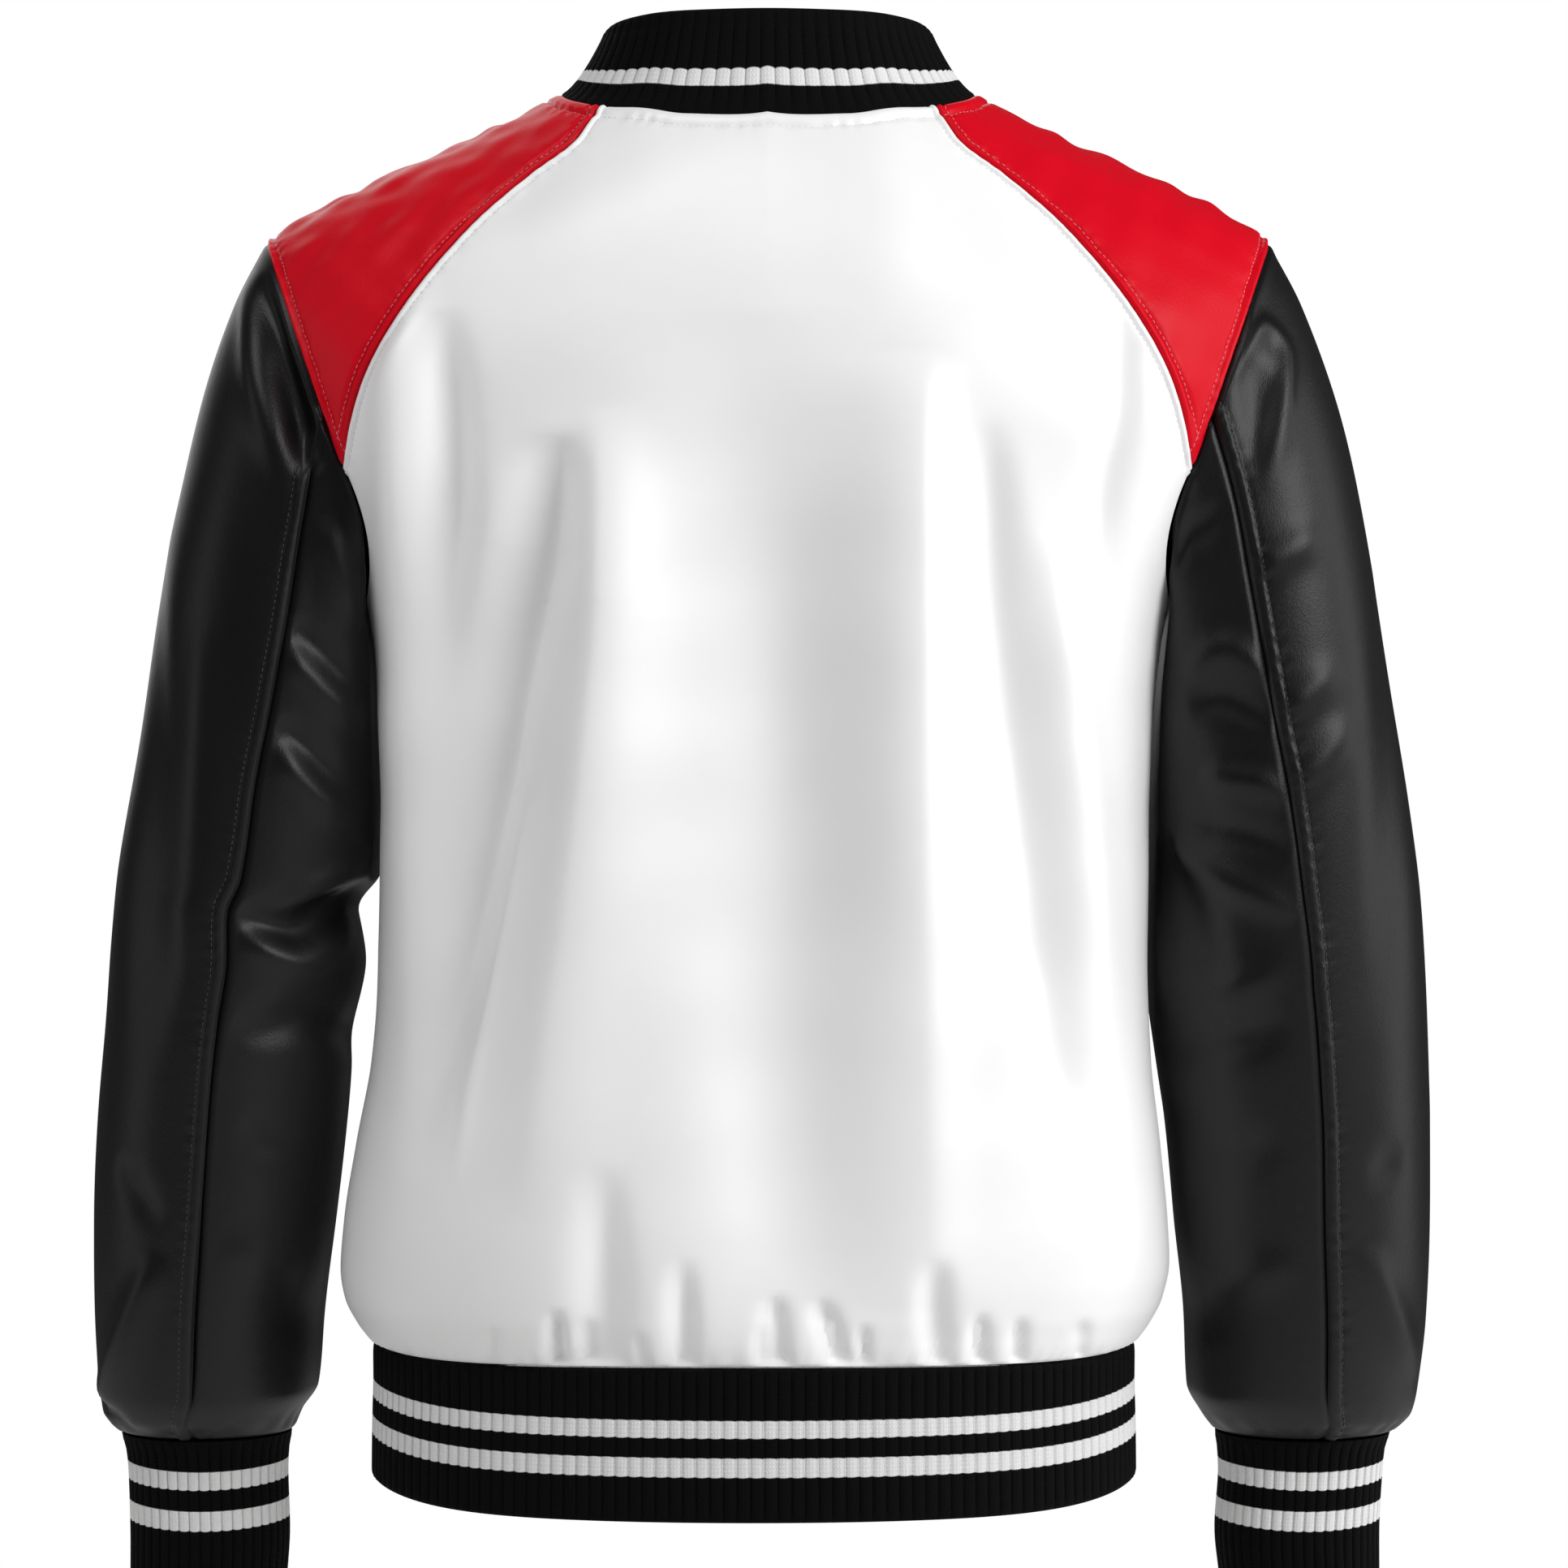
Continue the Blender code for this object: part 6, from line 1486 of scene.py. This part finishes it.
# The collar stands up from the neck seam and leans in at its top. Its foot is sewn under the shoulders' edge,
# and a faint welt runs just under its folded top edge.
COLLAR_HEIGHTS = np.array([0.0, 0.03, 0.08, 0.14, 0.2, 0.27, 0.34, 0.41, 0.48, 0.55, 0.62, 0.7, 0.78, 0.835,
                           0.86, 0.885, 0.93, 0.965, 0.985, 1.0])
COLLAR_RIBS = np.array([0.3, 0.6, 0.9, 1, 1, 1, 1, 1, 1, 1, 1, 1, 1, 0.9, 0.65, 0.85, 0.9, 0.6, 0.3, 0.0])
WELT_AT = 0.86
WELT_DEPTH = 0.0004
FOOT_IN = 0.0011          # how far inside and below the neck seam the collar's foot is sewn
FOOT_DOWN = 3 * SEAM_GAP
STRIPE_FALL = 0.16        # the share by which the stripe sits lower at the sides


def collar_run(height):
    """One run round the collar at a share of its height, from the wearer's left front round the back."""
    turns = np.linspace(179.0, -179.0, RUN_POINTS)
    about = np.abs(turns)
    low = yoke(*neck(about))
    high = stack(*[read(COLLAR_TOP, column, about) for column in ("out", "deep", "rise")])
    level = height ** COLLAR_FLARE
    share = np.array([level, level, height])
    points = low * (1 - share) + high * share
    points[:, 0] *= np.where(turns < 0, -1, 1)
    near_front = ease((about - 160) / 19)
    points[:, 2] -= COLLAR_CORNER * near_front ** 3 * height ** 2
    return points


runs = [collar_run(height) for height in COLLAR_HEIGHTS]
welt = int(np.argmin(np.abs(COLLAR_HEIGHTS - WELT_AT)))
for row, drawn_in in ((0, FOOT_IN), (-1, RIB_KNIT / 3), (-2, RIB_KNIT / 9), (welt, WELT_DEPTH)):
    runs[row] = runs[row] - sideways(runs[row]) * drawn_in
runs[0][:, 2] -= FOOT_DOWN
half_width = np.abs(runs[0][:, 0]).max()
levels = [height * (1 + STRIPE_FALL * (run[:, 0] / half_width) ** 2)
          for height, run in zip(COLLAR_HEIGHTS, runs)]
collar_finish = rib_finish("black rib knit, one stripe", COLLAR_STRIPE, RIB_PITCH, 0.01, 0.012)
collar, length, width = rib_band("collar_rib_knit", runs, COLLAR_RIBS, levels, RIB_PITCH, RIB_DEPTH,
                                 collar_finish)
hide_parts("collar_rib")


def hem_ring(drop, half, back, front):
    """One run round the hem band, from its upper end at the middle of the front, round by the wearer's
    left, to its lower end."""
    start = np.arcsin(OVERLAP / half) / (np.pi / 2)
    around = np.linspace(2 + start, -2 - start, RUN_POINTS)
    out = half * np.sin(np.pi / 2 * around)
    facing_back = np.cos(np.pi / 2 * around)
    deep = np.where(facing_back > 0, back, -front) * ring_share(out, half, read(BODY, "square", HEM_SEAM))
    down = (drop - HEM_SEAM) / (HEM_END - HEM_SEAM)
    behind = HEM_RISE + (HEM_END_RISE - HEM_RISE) * down
    beside = HEM_SIDE_RISE + (HEM_END_SIDE_RISE - HEM_SIDE_RISE) * down
    rise = hem_rise(out / half, facing_back, behind, beside)
    points = stack(out + read(BODY, "lean", HEM_SEAM), deep, rise - drop)
    points[:, 1] -= (around > 1) * step_up(out) * RIB_STAND_OFF
    return points


# The hem band is sewn to the eased lower edge of the body and meets in front with its ends turned in.
rings = finer(HEM, 16)
runs = [hem_ring(*sizes) for sizes in zip(rings["drop"], rings["half"], rings["back"], rings["front"])]
lower_edge = runs[0][:, 2]
levels = [run[:, 2] - lower_edge for run in runs]
hem_finish = rib_finish("black rib knit, hem stripes", HEM_STRIPES, RIB_PITCH, STRIPE_BOW, STRIPE_EDGE)
hem, length, width = rib_band("hem_rib_knit", runs, rings["ribs"], levels, RIB_PITCH, RIB_DEPTH, hem_finish)
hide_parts("hem_rib")


def cuff_run(side, drop, swell):
    """One ring round a cuff."""
    rows = CUFF[side]
    centre, half = middle_and_half(rows, drop)
    half = half + swell
    angle = np.linspace(0, 2 * np.pi, RUN_POINTS)
    forward = read(SLEEVE_SIDE, "forward", CUFF_SEAM) + CUFF_SLOPE * (drop - CUFF_SEAM)
    deep = (read(rows, "deep", drop) + swell) * np.sin(angle) - forward
    return stack(side * centre + half * np.cos(angle), deep, -drop)


# Each cuff is one ring, sewn inside the eased end of its sleeve. Its stripes rise a little at the sides.
CUFF_BOW = 0.002
CUFF_HALF = 0.042
cuff_finish = rib_finish("black rib knit, cuff stripes", CUFF_STRIPES, CUFF_PITCH, STRIPE_BOW, STRIPE_EDGE)
rings = finer(CUFF_RINGS, 18)
for side, word in ((1, "left"), (-1, "right")):
    runs = [cuff_run(side, drop, swell) for drop, swell in zip(rings["drop"], rings["swell"])]
    middle = np.mean([run[:, 0].mean() for run in runs])
    levels = [drop + CUFF_BOW * ((run[:, 0] - middle) / CUFF_HALF) ** 2
              for drop, run in zip(rings["drop"], runs)]
    cuff, length, width = rib_band("cuff_rib_%s_knit" % word, runs, rings["ribs"], levels, CUFF_PITCH,
                                   RIB_DEPTH, cuff_finish, closed=True)
    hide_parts("cuff_rib_" + word)


# -------------------------------------------------------------------------------------------------- the snaps
# Seven press studs hold the overlap of the fronts: six on the cloth and one on the hem band. Each shows a low
# black enamelled cap with a rolled edge, and stays pressed shut.
SNAP_DROPS = (0.108, 0.198, 0.288, 0.378, 0.468, 0.556, 0.648)
SNAP_GAP = 0.0005
SNAP_CAP = [(0.0, 0.003), (0.003, 0.0029), (0.0048, 0.0026), (0.0056, 0.0022), (0.0061, 0.0023),
            (0.0068, 0.0021), (0.0073, 0.0015), (0.0075, 0.0007), (0.0073, 0.0001), (0.0068, 0.0), (0.0, 0.0)]
SNAP_SIDES = 40
ENAMEL = (0.01, 0.01, 0.011, 1)
ENAMEL_WORN = (0.03, 0.03, 0.032, 1)

enamel, tree = new_finish("black enamelled metal")
speckle = noise(tree, add_node(tree, "ShaderNodeTexCoord").outputs["Object"], 700, 4)[0]
set_shader(tree, {
    "Base Color": mixed(tree, ENAMEL, ENAMEL_WORN, speckle), "Roughness": ranged(tree, speckle, 0.18, 0.36),
    "Coat Weight": 0.5, "Coat Roughness": 0.1,
})

turns = 2 * np.pi * np.arange(SNAP_SIDES) / SNAP_SIDES
rims = [stack(radius * np.cos(turns), radius * np.sin(turns), height) for radius, height in SNAP_CAP[1:-1]]
points = np.concatenate([[(0, 0, SNAP_CAP[0][1])], *rims, [(0, 0, SNAP_CAP[-1][1])]])
last = len(points) - 1
faces = []
for here in range(1, SNAP_SIDES + 1):
    beside = here % SNAP_SIDES + 1
    faces.append((0, here, beside))
    for passed in range(0, last - 1 - SNAP_SIDES, SNAP_SIDES):
        following = passed + SNAP_SIDES
        faces.append((passed + here, following + here, following + beside, passed + beside))
    faces.append((last, last - 1 - SNAP_SIDES + beside, last - 1 - SNAP_SIDES + here))
cap_mesh = bpy.data.meshes.new("snap cap")
cap_mesh.from_pydata(points.tolist(), [], faces)
cap_mesh.shade_smooth()
cap = bpy.data.objects.new("snap cap", cap_mesh)

snapping, given, made = node_group("caps on points", [
    ("Points", "Geometry"), ("Cap", "Object"), ("Enamel", "Material"),
], [("Caps", "Geometry")], "GeometryNodeTree")
facing = add_node(snapping, "GeometryNodeInputNamedAttribute", {"Name": "facing"}, data_type="FLOAT_VECTOR")
turned = add_node(snapping, "FunctionNodeAlignRotationToVector", {"Vector": facing.outputs["Attribute"]},
                  axis="Z")
held = add_node(snapping, "GeometryNodeObjectInfo", {"Object": given["Cap"]})
copies_on_points(snapping, made, given["Points"], held.outputs["Geometry"], turned.outputs["Rotation"],
                 given["Enamel"])

seats = []
ways = []
for drop in SNAP_DROPS:
    if drop < HEM_SEAM:
        seat = body(np.array(2.0), np.array(drop))
        stand_off = STAND_OFF
        slope = body(np.array(2.0), np.array(drop + 0.004)) - body(np.array(2.0), np.array(drop - 0.004))
    else:
        seat = stack(read(BODY, "lean", HEM_SEAM), -HEM["front"].max(), -drop)
        stand_off = RIB_STAND_OFF
        slope = np.array((0.0, 0.0, -1.0))
    slope = slope / np.linalg.norm(slope)
    way = np.array((0.0, slope[2], -slope[1]))
    seats.append((seat + way * (stand_off + SNAP_GAP)).tolist())
    ways += way.tolist()
snap_mesh = bpy.data.meshes.new("snap_caps")
snap_mesh.from_pydata(seats, [], [])
snap_mesh.attributes.new("facing", "FLOAT_VECTOR", "POINT").data.foreach_set("vector", ways)
snaps = in_scene("snap_caps", snap_mesh)
made_real(snaps, snapping, {"Cap": cap, "Enamel": enamel})
bpy.data.objects.remove(cap)
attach(snaps, "root")
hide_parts(*["snap_%d" % number for number in range(1, len(SNAP_DROPS) + 1)])
